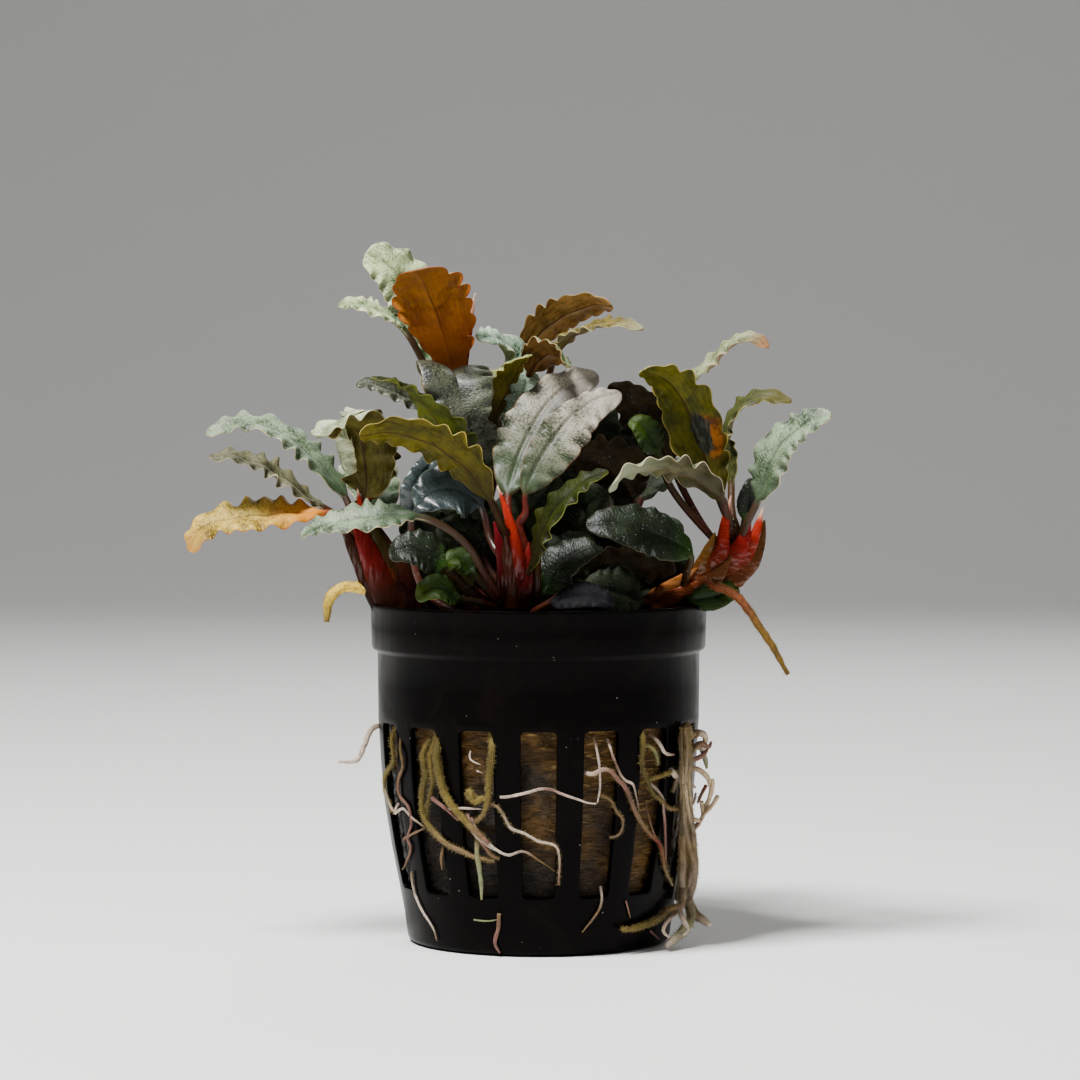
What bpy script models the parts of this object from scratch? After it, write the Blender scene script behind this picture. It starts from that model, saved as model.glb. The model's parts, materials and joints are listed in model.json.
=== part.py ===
"""Bucephalandra in a slotted net pot.

A rosette plant of the aquarium, grown out of water in a small black net pot. The pot is a stepped cup
with upright slots, filled by a plug of mineral wool. Six crowns and stems stand on the plug, and each leaf
is one solid, stalk and blade. The model stands on z = 0, with the pot's axis on the z axis. The front, as
one looks at it, is -Y.

Lengths below are millimetres, which the last step of every builder turns into metres.
"""

import math

import bmesh
import bpy
import numpy as np

MM = 0.001
GAP = 0.3  # clearance between neighbouring solids

# Net pot
RIM_RADIUS = 25.0
RIM_HEIGHT = 50.0
COLLAR_HEIGHT = 43.3  # height of the step under the collar
WALL = 0.9
FLOOR = 1.4
FLOOR_FILLET = 0.6
SLOTS = 16
SLOT_ANGLE = math.radians(13.0)
SLOT_BOTTOM = 8.5
SLOT_MIDDLE = 20.5
SLOT_TOP = 32.8
FLOOR_SLOT_INNER = 5.0
FLOOR_SLOT_OUTER = 14.5
SLOT_BAND = (4, 5)  # the rings of the profile between which the wall's slots are open
POT_PROFILE = [  # outer radius and height, from the foot to the rim
    (18.6, 0.0), (19.4, 0.8), (20.65, SLOT_BOTTOM), (22.85, SLOT_MIDDLE), (23.75, SLOT_TOP),
    (23.8, COLLAR_HEIGHT - 0.3), (24.7, COLLAR_HEIGHT + 0.3), (RIM_RADIUS, RIM_HEIGHT),
]

# Mineral wool plug
PLUG_TOP = 45.2
PLUG_SIDES = 24
PLUG_LUMP = 0.8
PLUG_ROUNDING = 1.2  # the foot's edge is drawn in by this
FLAT_LOSS = 0.35  # the pot's wall is made of flats, which stand inside its circle

# Leaves
BLADE_STATIONS = 9
BLADE_ENDS = 0.02  # share of the blade between its outer stations and its ends
STALK_HALF_WIDTH = 0.55
MIDRIB_THICKNESS = 0.62
TIP_THICKNESS = 0.42
EDGE_THICKNESS = 0.34
STALK_EXTRA = 0.35  # added to the midrib's thickness along the stalk
STALK_EDGE = 0.5  # added to the edge's thickness along the stalk
TIP_HALF_WIDTH = 0.22
TIP_DROOP = 0.8
EDGE_WAVES = 4.5
EDGE_SCALLOP = 0.05

# Finishes: base colour, roughness
FINISHES = {
    "pot_plastic": ((0.012, 0.011, 0.010), 0.38),
    "mineral_wool": ((0.20, 0.12, 0.03), 0.95),
    "crown_red": ((0.32, 0.03, 0.02), 0.40),
    "leaf_silver": ((0.10, 0.15, 0.10), 0.42),
    "leaf_olive": ((0.16, 0.15, 0.03), 0.45),
    "leaf_orange": ((0.38, 0.16, 0.03), 0.45),
    "leaf_dark": ((0.03, 0.05, 0.03), 0.40),
    "leaf_green": ((0.12, 0.22, 0.03), 0.42),
    "root_pale": ((0.45, 0.38, 0.22), 0.60),
}

# Crowns and stems: axis points and radii along the axis, then the spikes grown from them
CROWNS = {
    "crown_left": {
        "axis": [(-19, -4, 47), (-19.5, -4, 49.5), (-23.3, -4, 55.5), (-26.5, -3.5, 61), (-28, -3, 64)],
        "radii": [3.1, 3.1, 2.9, 2.2, 1.0],
        "spikes": [[(-22.5, -5, 55), (-25.5, -6, 62.5), (-26.5, -6, 67)]],
    },
    "crown_centre": {
        "axis": [(-3.5, -13, 47), (-3.5, -13, 49), (-3.5, -13.5, 54), (-3.5, -14, 59), (-4, -14, 62)],
        "radii": [2.6, 2.7, 2.9, 2.3, 1.0],
        "spikes": [[(-3.5, -15, 57), (-4, -15.5, 62.5), (-5.5, -15.5, 68)]],
    },
    "rhizome_right": {
        "axis": [(16, -3, 47), (17.5, -3.2, 49.5), (22, -4, 52), (27, -4, 54.5), (29.5, -4, 58.5)],
        "radii": [2.1, 2.1, 2.2, 3.0, 1.8],
        "spikes": [
            [(29, -5.5, 55), (32, -6, 59), (34, -5.5, 63.5)],
            [(26.5, -6, 54.5), (25.2, -6.3, 57.5), (26.3, -5.5, 61.5)],
        ],
    },
    "stem_back_left": {
        "axis": [(-9, 3, 47), (-9, 3, 50), (-9.5, 4, 59), (-10.5, 4.5, 69.5), (-12.5, 4.5, 78)],
        "radii": [2.2, 2.1, 1.7, 1.2, 1.0],
        "spikes": [[(-12, 5, 76.5), (-10.8, 5.4, 84), (-10.2, 4.8, 90.5), (-9.5, 3, 96)]],
    },
    "stem_back": {
        "axis": [(-3, 10, 47), (-3, 10, 49), (-2.5, 11, 57.5), (-3, 10.5, 66.5), (-3.5, 10, 73.5)],
        "radii": [2.4, 2.4, 1.9, 1.4, 1.0],
        "spikes": [],
    },
    "stem_back_right": {
        "axis": [(10.5, 9, 47), (10.5, 9, 49), (12, 9, 54.5), (13.5, 8, 60.5)],
        "radii": [2.4, 2.4, 2.0, 1.2],
        "spikes": [],
    },
}
SPIKE_RADII = [1.0, 0.8, 0.25]
CROWN_SIDES = 8
SPIKE_SIDES = 6


def leaf_form(crown, attach, stalk, blade, width, top, **more):
    """A leaf's measures: where it leaves its crown (share of the axis), the points its stalk and its blade
    pass through, the blade's width, and the way its upper side faces."""
    form = {"crown": crown, "attach": attach, "stalk": stalk, "blade": blade, "width": width, "top": top}
    form.update({"top_tip": top, "fold": 0.18, "wave": 0.5, "phase": 0.0, "skew": 0.82, "full": 0.8})
    form.update(more)
    return form


LEAVES = {
    "leaf_left_high": leaf_form(
        "crown_left", 0.95, [], [(-28.6, -2, 65.8), (-33.5, -1, 71.5), (-41.2, -1, 76.3), (-49, -3, 75.6)],
        7.4, (0.3, -0.35, 0.9)),
    "leaf_left_slim": leaf_form(
        "crown_left", 0.88, [], [(-32, -5, 64.5), (-35.5, -7, 67), (-40.5, -9, 70.5), (-47.5, -11, 72.5)],
        5, (0.2, -0.25, 0.95), phase=1.5),
    "leaf_left_orange": leaf_form(
        "crown_left", 0.75, [(-28.5, -7, 63)],
        [(-32, -8, 63.5), (-40.5, -9, 63), (-48.5, -10, 61.5), (-51.5, -10, 58)],
        7.5, (0.1, -0.55, 0.85), wave=0.7, finish="leaf_orange"),
    "leaf_left_upright": leaf_form(
        "crown_left", 1.0, [], [(-25.5, -5, 66), (-25.5, -6, 72), (-27, -10, 76.5), (-32, -15, 75.5)],
        9, (0.1, 0.95, 0.1), top_tip=(-0.3, -0.3, 0.9), wave=0.85, full=0.55, skew=0.78, finish="leaf_olive"),
    "leaf_left_behind": leaf_form(
        "crown_left", 1.0, [], [(-25, 0, 65.5), (-24, 2, 72), (-25, 1, 77), (-28.5, -4, 78.5)],
        6.5, (0.3, 0.6, 0.5), top_tip=(0, -0.1, 1), wave=0.85, finish="leaf_olive"),
    "leaf_front_long": leaf_form(
        "crown_centre", 0.2, [(-7.5, -17.5, 54.5), (-10, -20, 59), (-13.5, -22, 62)],
        [(-17.5, -23, 63.5), (-25.5, -24, 63), (-34, -23, 61.5)],
        7, (0, -0.5, 0.85), wave=0.6),
    "leaf_front_olive": leaf_form(
        "crown_centre", 0.82, [(-5.5, -18.5, 62.5)],
        [(-7, -19, 66), (-11, -21, 71), (-17.5, -24, 74.8), (-25.4, -26, 75.6)],
        7.4, (0.35, 0.75, 0.6), wave=0.6, finish="leaf_olive"),
    "leaf_stalked_left": leaf_form(
        "crown_centre", 0.14, [(-16.5, -9, 52)], [(-18.5, -7, 63), (-17, -7, 67.5), (-15.4, -6.5, 72)],
        5.5, (0.2, -0.95, 0.1), wave=0.4),
    "leaf_round_silver": leaf_form(
        "crown_centre", 0.6, [(-7, -9, 59.5)], [(-8.5, -8, 64.5), (-13, -11, 67), (-17.5, -14, 65)],
        9, (0, -0.8, 0.55)),
    "leaf_centre_broad": leaf_form(
        "crown_centre", 1.0, [], [(-4.4, -12, 66.3), (-1.4, -7.5, 75), (3, -4.5, 81), (8.8, -3.2, 83.9)],
        8.4, (-0.1, -0.9, 0.4), wave=0.6),
    "leaf_centre_front": leaf_form(
        "crown_centre", 0.95, [(-2, -15, 63.5)],
        [(-2, -15, 66.5), (2.2, -12, 74.4), (6.8, -9, 79), (12.2, -7, 81.3)],
        8.2, (0.2, -0.9, 0.45), wave=0.6),
    "leaf_front_lime": leaf_form(
        "crown_centre", 0.45, [], [(-1, -17, 56), (1.5, -20, 63), (5.5, -21, 67.5), (9.5, -21, 70.5)],
        6, (-0.55, -0.5, 0.65), finish="leaf_green"),
    "leaf_low_streaked": leaf_form(
        "crown_centre", 0.3, [], [(0.5, -14.6, 52.3), (3, -15, 56.3), (6, -15.5, 58.2), (9, -15.5, 59.5)],
        6.5, (0, -0.7, 0.7), wave=0.4, finish="leaf_dark"),
    "leaf_rim_violet": leaf_form(
        "crown_centre", 0.14, [], [(2, -18, 51), (6.5, -20.5, 52), (11, -21, 51.2)],
        5, (0, -0.7, 0.7), wave=0.3),
    "leaf_rim_green": leaf_form(
        "crown_centre", 0.16, [(-7.5, -15, 50.5)], [(-11.5, -17, 51.5), (-14.5, -19, 53), (-17.5, -20, 52)],
        5.2, (0, -0.7, 0.7), wave=0.3, finish="leaf_green"),
    "leaf_low_left": leaf_form(
        "crown_centre", 0.22, [(-10, -12, 52.5)],
        [(-13.5, -13.5, 56), (-17.5, -15.5, 58.5), (-21.5, -16.5, 58)],
        6.8, (0, -0.75, 0.6), finish="leaf_dark"),
    "leaf_low_inner": leaf_form(
        "crown_centre", 0.35, [(-7, -7, 55)], [(-8.5, -6, 57.5), (-11, -7, 60.5), (-14.5, -9, 61)],
        6, (0, -0.8, 0.6), wave=0.4, finish="leaf_dark"),
    "leaf_low_brown": leaf_form(
        "crown_centre", 0.22, [(1.5, -10, 50.5)], [(4.5, -9, 52.5), (12, -8, 55), (20, -8, 56)],
        8.5, (0, 0.75, 0.6), finish="leaf_dark"),
    "leaf_top_pale": leaf_form(
        "stem_back_left", 1.0, [], [(-15, 8, 85.5), (-19.5, 10, 96.5), (-25.5, 8, 102.5)],
        9, (0.2, -0.9, 0.5), wave=0.6, full=0.55, skew=1.15),
    "leaf_top_orange": leaf_form(
        "stem_back_left", 1.0, [],
        [(-12.4, 2.6, 83), (-13.5, 0, 88), (-15.2, -4.5, 93.5), (-17.7, -12, 99.4)],
        10.2, (0, 0.75, 0.6), wave=0.6, full=0.55, skew=1.3, finish="leaf_orange"),
    "leaf_top_curled": leaf_form(
        "stem_back_left", 0.92, [(-16.5, 1, 84.5)], [(-20, -1, 90.5), (-24, -4, 93), (-29, -6, 94.5)],
        5.5, (0, -0.5, 0.85), wave=0.4),
    "leaf_mid_lime": leaf_form(
        "stem_back_left", 0.58, [],
        [(-11.2, -7, 72), (-14.2, -12.6, 76.6), (-18.4, -16, 81.2), (-23.5, -17.5, 84)],
        7.5, (0.4, 0.5, 0.75), top_tip=(0.1, -0.1, 1), skew=0.6, finish="leaf_green"),
    "leaf_mid_dark": leaf_form(
        "stem_back_left", 0.77, [], [(-15, -1, 77.5), (-21, -3, 81), (-26.5, -4, 83)],
        5.5, (0, -0.5, 0.85), wave=0.4, finish="leaf_dark"),
    "leaf_mid_grey": leaf_form(
        "stem_back_left", 0.7, [(-10.2, -0.6, 75.8)],
        [(-12.3, -2.4, 81), (-12.7, -4.4, 84.2), (-12.3, -7.4, 83.4), (-11, -9.2, 79.4), (-10, -9.6, 75.6)],
        11, (0, 0.8, 0.4), top_tip=(0, -0.9, 0.45), full=0.6),
    "leaf_crest_pale": leaf_form(
        "stem_back", 0.92, [(-6, 7, 76.5)],
        [(-5.5, 7, 78.5), (-4.6, 6, 84), (-5.4, 2, 88), (-8.4, -3.5, 89.6)],
        7, (-0.1, -0.9, 0.3), top_tip=(0.3, -0.5, 0.8)),
    "leaf_crest_folded": leaf_form(
        "stem_back", 0.82, [], [(-6.5, 0.5, 77), (-4.5, -2, 82), (-1.8, -6.5, 87)],
        6, (-0.6, 0.5, 0.5), fold=0.5, wave=0.3, finish="leaf_olive"),
    "leaf_crest_brown": leaf_form(
        "stem_back", 1.0, [], [(-2, 8, 87), (3.5, 3, 92.5), (11, -3, 94.5)],
        6, (-0.2, 0.8, 0.5), full=0.7, finish="leaf_olive"),
    "leaf_crest_wavy": leaf_form(
        "stem_back", 1.0, [(0.8, 5, 81)], [(2.8, 0.5, 87.3), (7.5, -6, 90.5), (15, -11, 91)],
        5.5, (0, -0.35, 0.9)),
    "leaf_crest_small": leaf_form(
        "stem_back", 0.8, [(-2.6, 4.5, 78)], [(-1.2, 1, 84.2), (1.5, -5, 86.8), (4.5, -11.5, 85.6)],
        6, (0, 0.8, 0.5), wave=0.3, finish="leaf_olive"),
    "leaf_right_olive": leaf_form(
        "rhizome_right", 1.0, [], [(26.5, -4, 65.5), (23.6, -7, 73.5), (20, -11, 81.5), (15, -15, 85)],
        7.8, (-0.1, 0.9, 0.3), top_tip=(0, 0.5, 0.8), wave=0.6, skew=0.95, full=0.65, finish="leaf_olive"),
    "leaf_right_wavy_high": leaf_form(
        "rhizome_right", 0.95, [(26.5, 4, 68)], [(21.5, 5, 81), (26, 4, 85.5), (30, 2, 89), (34, 0, 88.5)],
        5.5, (-0.3, -0.3, 0.9)),
    "leaf_right_wavy_low": leaf_form(
        "rhizome_right", 1.0, [(28.5, -1, 64)],
        [(28.5, 1, 68), (28, 2, 74.5), (30.5, 0, 79.5), (37, -3, 80.5)],
        5.5, (-0.6, -0.3, 0.8), finish="leaf_olive"),
    "leaf_right_silver": leaf_form(
        "rhizome_right", 1.0, [(30.4, -8.4, 62)], [(32, -9.4, 65.5), (35, -10, 73), (42, -13, 78.5)],
        7, (-0.45, -0.65, 0.6)),
    "leaf_right_young": leaf_form(
        "rhizome_right", 1.0, [], [(30.4, -3, 62.5), (30.9, -3.3, 65.5), (31.4, -3.3, 68.5)],
        3, (0, -1, 0), wave=0.2, finish="leaf_dark"),
    "leaf_right_arching": leaf_form(
        "rhizome_right", 0.95, [(27.5, -7, 63)],
        [(26.5, -9, 66), (20.5, -14, 69.5), (14.5, -17, 70), (9.5, -19, 67.5)],
        6, (0, 0.45, 0.85)),
    "leaf_right_dark": leaf_form(
        "rhizome_right", 0.45, [(21.5, -8, 54.5)], [(22, -10, 57.5), (15.5, -13, 61), (7, -15, 62.5)],
        8.5, (0.1, -0.75, 0.6), finish="leaf_dark"),
    "leaf_right_inner": leaf_form(
        "rhizome_right", 0.88, [(24, 1, 62), (21, 1, 67.5)], [(19.5, 0, 71), (15.5, -3, 77.5), (11, -6, 83)],
        8.5, (0, 0.4, 0.8), finish="leaf_dark"),
    "leaf_inner_upright": leaf_form(
        "stem_back_right", 0.95, [(14, 8, 64.5)], [(14.5, 8, 69.5), (15.5, 6, 76.5), (13.5, 5, 82)],
        8, (0.1, -0.95, 0.2), finish="leaf_dark"),
    "leaf_inner_brown": leaf_form(
        "stem_back_right", 1.0, [], [(14, 4, 65.5), (9.6, 0, 70.3), (3.2, -1.5, 71.8)],
        10.4, (0, 0.7, 0.6), finish="leaf_dark"),
    "leaf_behind_top": leaf_form(
        "stem_back_left", 0.93, [], [(-13, 10, 78), (-13.5, 19, 83), (-15, 29, 81)],
        8.5, (0, -0.3, 1), wave=0.6),
    "leaf_behind_far_left": leaf_form(
        "stem_back_left", 0.75, [], [(-15, 9, 72), (-21, 17, 76), (-28, 24, 73)],
        8, (0.2, -0.2, 1), wave=0.6),
    "leaf_behind_middle": leaf_form(
        "stem_back", 0.95, [], [(-2, 15, 74), (0, 24, 79), (2, 33, 77)],
        9, (0, -0.3, 1), wave=0.6),
    "leaf_behind_low": leaf_form(
        "stem_back_right", 0.85, [], [(8, 14, 62), (6, 23, 67), (4, 31, 64)],
        8, (0, -0.3, 1), wave=0.6),
    "leaf_behind_right": leaf_form(
        "stem_back_right", 1.0, [], [(15.5, 13, 65), (18, 22, 70), (19, 31, 69)],
        8.5, (0, -0.3, 1), wave=0.6),
    "leaf_behind_left": leaf_form(
        "crown_left", 0.9, [], [(-24, 4, 63), (-26, 13, 69), (-28, 22, 67)],
        8, (0, -0.3, 1), wave=0.6),
}

# Roots down the pot's wall: (angle from the front, height) pairs, in degrees and millimetres, and radii
WALL_ROOTS = {
    "root_front_thick": ([(-44, 31), (-43, 24), (-41.5, 19), (-31, 15.5), (-17, 14)], [0.5, 0.85, 0.7, 0.3]),
    "root_front_branching": (
        [(-35.5, 32), (-34.5, 23), (-24, 19.5), (-18.5, 17), (-5.5, 15.5), (5.5, 13)],
        [0.5, 0.8, 0.7, 0.3],
    ),
    "root_front_right": (
        [(15.5, 26.5), (21.5, 27), (33.5, 22.5), (48, 16), (61, 11)],
        [0.4, 0.65, 0.7, 0.35],
    ),
}
RIGHT_ROOT_TRUNK = ([(58, 32), (61, 24), (65, 17), (74, 11.5), (79, 6.5)], [0.8, 1.1, 1.2, 1.2, 0.9])
RIGHT_ROOT_FORKS = [
    ([(21.6, -4.8, 8), (23, -5, 5), (25.2, -6, 2.8)], [0.9, 0.7, 0.4]),
    ([(21.6, -5.5, 7.5), (21, -9, 4), (19.2, -12.5, 1.4)], [0.9, 0.7, 0.4]),
]

# Roots in the open: axis points and radii
FREE_ROOTS = {
    "root_over_rim_left": (
        [(-25, -4.8, 52.2), (-28.5, -5.5, 52.6), (-30.5, -6, 51), (-31, -6, 47.5)],
        [0.7, 0.8, 0.45],
    ),
    "root_over_rim_right": (
        [(25, -7.7, 52.6), (28.2, -9.3, 51.9), (30.2, -10.3, 49.8), (32.8, -11, 46), (36.2, -11.5, 40.2)],
        [0.6, 0.8, 0.35],
    ),
    "root_side_left": (
        [(-24.6, -2, 31.5), (-25.7, -2, 29), (-26.8, -2, 26.8), (-29.5, -2, 26.6)],
        [0.45, 0.5, 0.3],
    ),
}
ROOT_SIDES = 6


def unit(vectors):
    """Vectors scaled to length one."""
    return vectors / np.maximum(np.linalg.norm(vectors, axis=-1, keepdims=True), 1e-9)


def smooth_path(points, count=300):
    """A smooth line through the points: cubic Hermite spans, with slopes from neighbouring points."""
    p = np.asarray(points, float)
    t = np.concatenate([[0], np.cumsum(np.sqrt(np.linalg.norm(np.diff(p, axis=0), axis=1)))])
    span = np.diff(t)
    slope = np.diff(p, axis=0) / span[:, None]
    m = np.concatenate([slope[:1], slope])
    if len(p) > 2:
        inner = (slope[:-1] * span[1:, None] + slope[1:] * span[:-1, None]) / (span[1:] + span[:-1])[:, None]
        m[1:-1] = inner
        m[0] = 1.5 * slope[0] - 0.5 * m[1]
        m[-1] = 1.5 * slope[-1] - 0.5 * m[-2]
    u = np.linspace(t[0], t[-1], count)
    i = np.clip(np.searchsorted(t, u, side="right") - 1, 0, len(p) - 2)
    h = span[i][:, None]
    s = (u - t[i])[:, None] / h
    line = (2 * s**3 - 3 * s**2 + 1) * p[i] + (s**3 - 2 * s**2 + s) * h * m[i]
    return line + (3 * s**2 - 2 * s**3) * p[i + 1] + (s**3 - s**2) * h * m[i + 1]


def lengths(line):
    """Distance along the line to each of its points."""
    return np.concatenate([[0], np.cumsum(np.linalg.norm(np.diff(line, axis=0), axis=1))])


def points_at(line, distances):
    """Points of the line at the given distances along it."""
    s = lengths(line)
    return np.stack([np.interp(distances, s, line[:, k]) for k in range(3)], axis=1)


def rows_at(values, shares):
    """Rows of values, spaced evenly from 0 to 1, read at each share."""
    even = np.linspace(0, 1, len(values))
    return np.stack([np.interp(shares, even, values[:, k]) for k in range(3)], axis=1)


def ease(value, low, high):
    """0 below low, 1 above high, and 3 s^2 - 2 s^3 between them."""
    s = np.clip((value - low) / (high - low), 0, 1)
    return s * s * (3 - 2 * s)


def wall_radius(z):
    """Radius of the pot's outer wall at height z."""
    radii, heights = zip(*POT_PROFILE)
    return np.interp(z, heights, radii)


def make_material(name):
    """A plain material in the finish's colour."""
    colour, roughness = FINISHES[name]
    material = bpy.data.materials.new(name)
    material.use_nodes = True
    shader = material.node_tree.nodes["Principled BSDF"]
    shader.inputs["Base Color"].default_value = (*colour, 1.0)
    shader.inputs["Roughness"].default_value = roughness
    material.diffuse_color = (*colour, 1.0)
    return material


def add_object(name, points, faces, material):
    """An object from points in millimetres and faces, shaded smooth, its faces pointing out."""
    mesh = bpy.data.meshes.new(name)
    mesh.from_pydata((np.asarray(points) * MM).tolist(), [], faces)
    shape = bmesh.new()
    shape.from_mesh(mesh)
    bmesh.ops.recalc_face_normals(shape, faces=shape.faces)
    shape.to_mesh(mesh)
    shape.free()
    mesh.materials.append(material)
    mesh.shade_smooth()
    thing = bpy.data.objects.new(name, mesh)
    bpy.context.scene.collection.objects.link(thing)
    return thing


def skin(rings, two_sided=False):
    """Points and faces of a closed skin over rings, an array (rings, points around, 3).

    Where the first half of a ring is an upper side and the second half its underside, the quads are split
    in two, and each split of the underside lies below the upper side's, so that a thin twisted blade never
    crosses itself."""
    count, around, _ = rings.shape
    faces = [tuple(range(around)), tuple(range((count - 1) * around, count * around))]
    for ring in range(count - 1):
        for k in range(around):
            a = ring * around + k
            b = ring * around + (k + 1) % around
            c, d = b + around, a + around
            if not two_sided:
                faces.append((a, b, c, d))
            elif k < around // 2:
                faces += [(a, b, c), (a, c, d)]
            else:
                faces += [(a, b, d), (b, c, d)]
    return rings.reshape(-1, 3), faces


def tube(axis, radii, sides, stations):
    """Rings of a tapered tube along the axis points."""
    line = smooth_path(axis)
    total = lengths(line)[-1]
    centres = points_at(line, np.linspace(0, total, stations))
    radius = np.interp(np.linspace(0, 1, stations), np.linspace(0, 1, len(radii)), radii)
    along = unit(np.gradient(centres, axis=0))
    across = unit(np.cross(along, (0.0, 1.0, 0.0)))
    up = np.cross(across, along)
    angle = np.linspace(0, 2 * np.pi, sides, endpoint=False)
    circle = np.cos(angle)[None, :, None] * across[:, None] + np.sin(angle)[None, :, None] * up[:, None]
    return centres[:, None] + radius[:, None, None] * circle


def fuse(body, extra):
    """Joins extra to body with a Boolean union and hides it."""
    extra.hide_render = True
    extra.display_type = "WIRE"
    union = body.modifiers.new("Fuse " + extra.name, "BOOLEAN")
    union.operation = "UNION"
    union.solver = "EXACT"
    union.object = extra


def pot_profiles():
    """The pot's outer and inner profiles, (radius, height), ring for ring from the floor's hub to the rim."""
    outer = [(FLOOR_SLOT_INNER, 0.0), (FLOOR_SLOT_OUTER, 0.0), *POT_PROFILE]
    inner = [(FLOOR_SLOT_INNER, FLOOR), (FLOOR_SLOT_OUTER, FLOOR)]
    for radius, height in POT_PROFILE:
        if height < FLOOR:
            height = FLOOR + (FLOOR_FILLET if height else 0.0)
        elif abs(height - COLLAR_HEIGHT) < WALL:
            height += WALL / 2
        inner.append((radius - WALL, height))
    return outer, inner


def net_pot(material):
    """A cup of one wall thickness, made as matching outer and inner rings. Cells of the wall and floor that
    fall in a slot are left open, and the cut is closed from the outer to the inner ring."""
    pitch = 2 * math.pi / SLOTS
    front = -math.pi / 2
    angles = [front + i * pitch + side * SLOT_ANGLE / 2 for i in range(SLOTS) for side in (-1, 1)]
    around = len(angles)
    profiles = pot_profiles()
    levels = len(profiles[0])
    rings = [ring for profile in profiles for ring in profile]
    points = [(r * math.cos(a), r * math.sin(a), z) for r, z in rings for a in angles]
    points += [(0, 0, 0), (0, 0, FLOOR)]
    faces = []

    def at(wall, level, column):
        return (wall * levels + level) * around + column % around

    def is_open(level, column):
        in_floor = level == 0 and column % 4 == 0
        return in_floor or (level in SLOT_BAND and column % 2 == 0)

    def across(level, column):
        outer, inner = [(at(wall, level, column), at(wall, level, column + 1)) for wall in (0, 1)]
        faces.append((*outer, *inner[::-1]))

    for column in range(around):
        for wall in (0, 1):
            faces.append((len(points) - 2 + wall, at(wall, 0, column), at(wall, 0, column + 1)))
        across(levels - 1, column)
        for level in range(levels - 1):
            if is_open(level, column):
                for edge in (column, column + 1):
                    outer, inner = [(at(wall, level, edge), at(wall, level + 1, edge)) for wall in (0, 1)]
                    faces.append((*outer, *inner[::-1]))
                if level == 0 or not is_open(level - 1, column):
                    across(level, column)
                if not is_open(level + 1, column):
                    across(level + 1, column)
                continue
            for wall in (0, 1):
                low = (at(wall, level, column), at(wall, level, column + 1))
                high = (at(wall, level + 1, column + 1), at(wall, level + 1, column))
                faces.append((*low, *high))
    pot = add_object("net_pot", points, faces, material)
    pot.data.set_sharp_from_angle(angle=math.radians(35))
    return pot


def growing_medium(material):
    """The plug of mineral wool, a gap inside the pot's wall, with a lumpy top."""
    foot = FLOOR + GAP
    angle = np.linspace(0, 2 * np.pi, PLUG_SIDES, endpoint=False)
    rings = []
    for z in (foot, SLOT_BOTTOM, SLOT_MIDDLE, SLOT_TOP, COLLAR_HEIGHT - 0.5, PLUG_TOP):
        dents = 0.25 * np.sin(5 * angle + z) + 0.2 * np.sin(9 * angle - 0.7 * z) - 0.45
        inset = np.full(PLUG_SIDES, -PLUG_ROUNDING) if z == foot else dents
        r = min(wall_radius(z), wall_radius(SLOT_TOP)) - WALL - GAP - FLAT_LOSS + inset
        rings.append(np.stack([r * np.cos(angle), r * np.sin(angle), np.full(PLUG_SIDES, z)], axis=1))
    edge = np.linalg.norm(rings[-1][:, :2], axis=1)
    for share in (0.72, 0.42, 0.14):
        x = share * edge * np.cos(angle)
        y = share * edge * np.sin(angle)
        lump = PLUG_LUMP * (0.6 * np.sin(0.55 * x + 1.0) * np.cos(0.6 * y) + 0.4 * np.sin(0.9 * y + 0.3 * x))
        rings.append(np.stack([x, y, PLUG_TOP + 0.35 + lump], axis=1))
    points, faces = skin(np.stack(rings))
    return add_object("growing_medium", points, faces, material)


def crown(name, form, material):
    """A crown or stem: a tapered stalk with its young spikes fused to it."""
    body = add_object(name, *skin(tube(form["axis"], form["radii"], CROWN_SIDES, 7)), material)
    for i, spike in enumerate(form["spikes"]):
        part = add_object(f"{name}_spike_{i + 1}", *skin(tube(spike, SPIKE_RADII, SPIKE_SIDES, 5)), material)
        fuse(body, part)
    return body


def leaf_line(form):
    """The leaf's middle line, from just outside its crown to its tip, and the share of it that is stalk."""
    axis = smooth_path(CROWNS[form["crown"]]["axis"])
    start = points_at(axis, [form["attach"] * lengths(axis)[-1]])[0]
    line = smooth_path([start, *form["stalk"], *form["blade"]])
    heel = int(np.argmin(np.linalg.norm(line - np.asarray(form["blade"][0], float), axis=1)))
    radii = CROWNS[form["crown"]]["radii"]
    share = lengths(axis) / lengths(axis)[-1]
    crown_radius = np.interp(share, np.linspace(0, 1, len(radii)), radii)
    distance = np.linalg.norm(line[: heel + 1, None] - axis[None], axis=2) - crown_radius
    inside = np.nonzero(distance.min(axis=1) < GAP + STALK_HALF_WIDTH)[0]
    first = min(inside[-1] + 1, heel - 2)
    line = line[first:]
    along = lengths(line)
    return line, along[heel - first] / along[-1]


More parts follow.
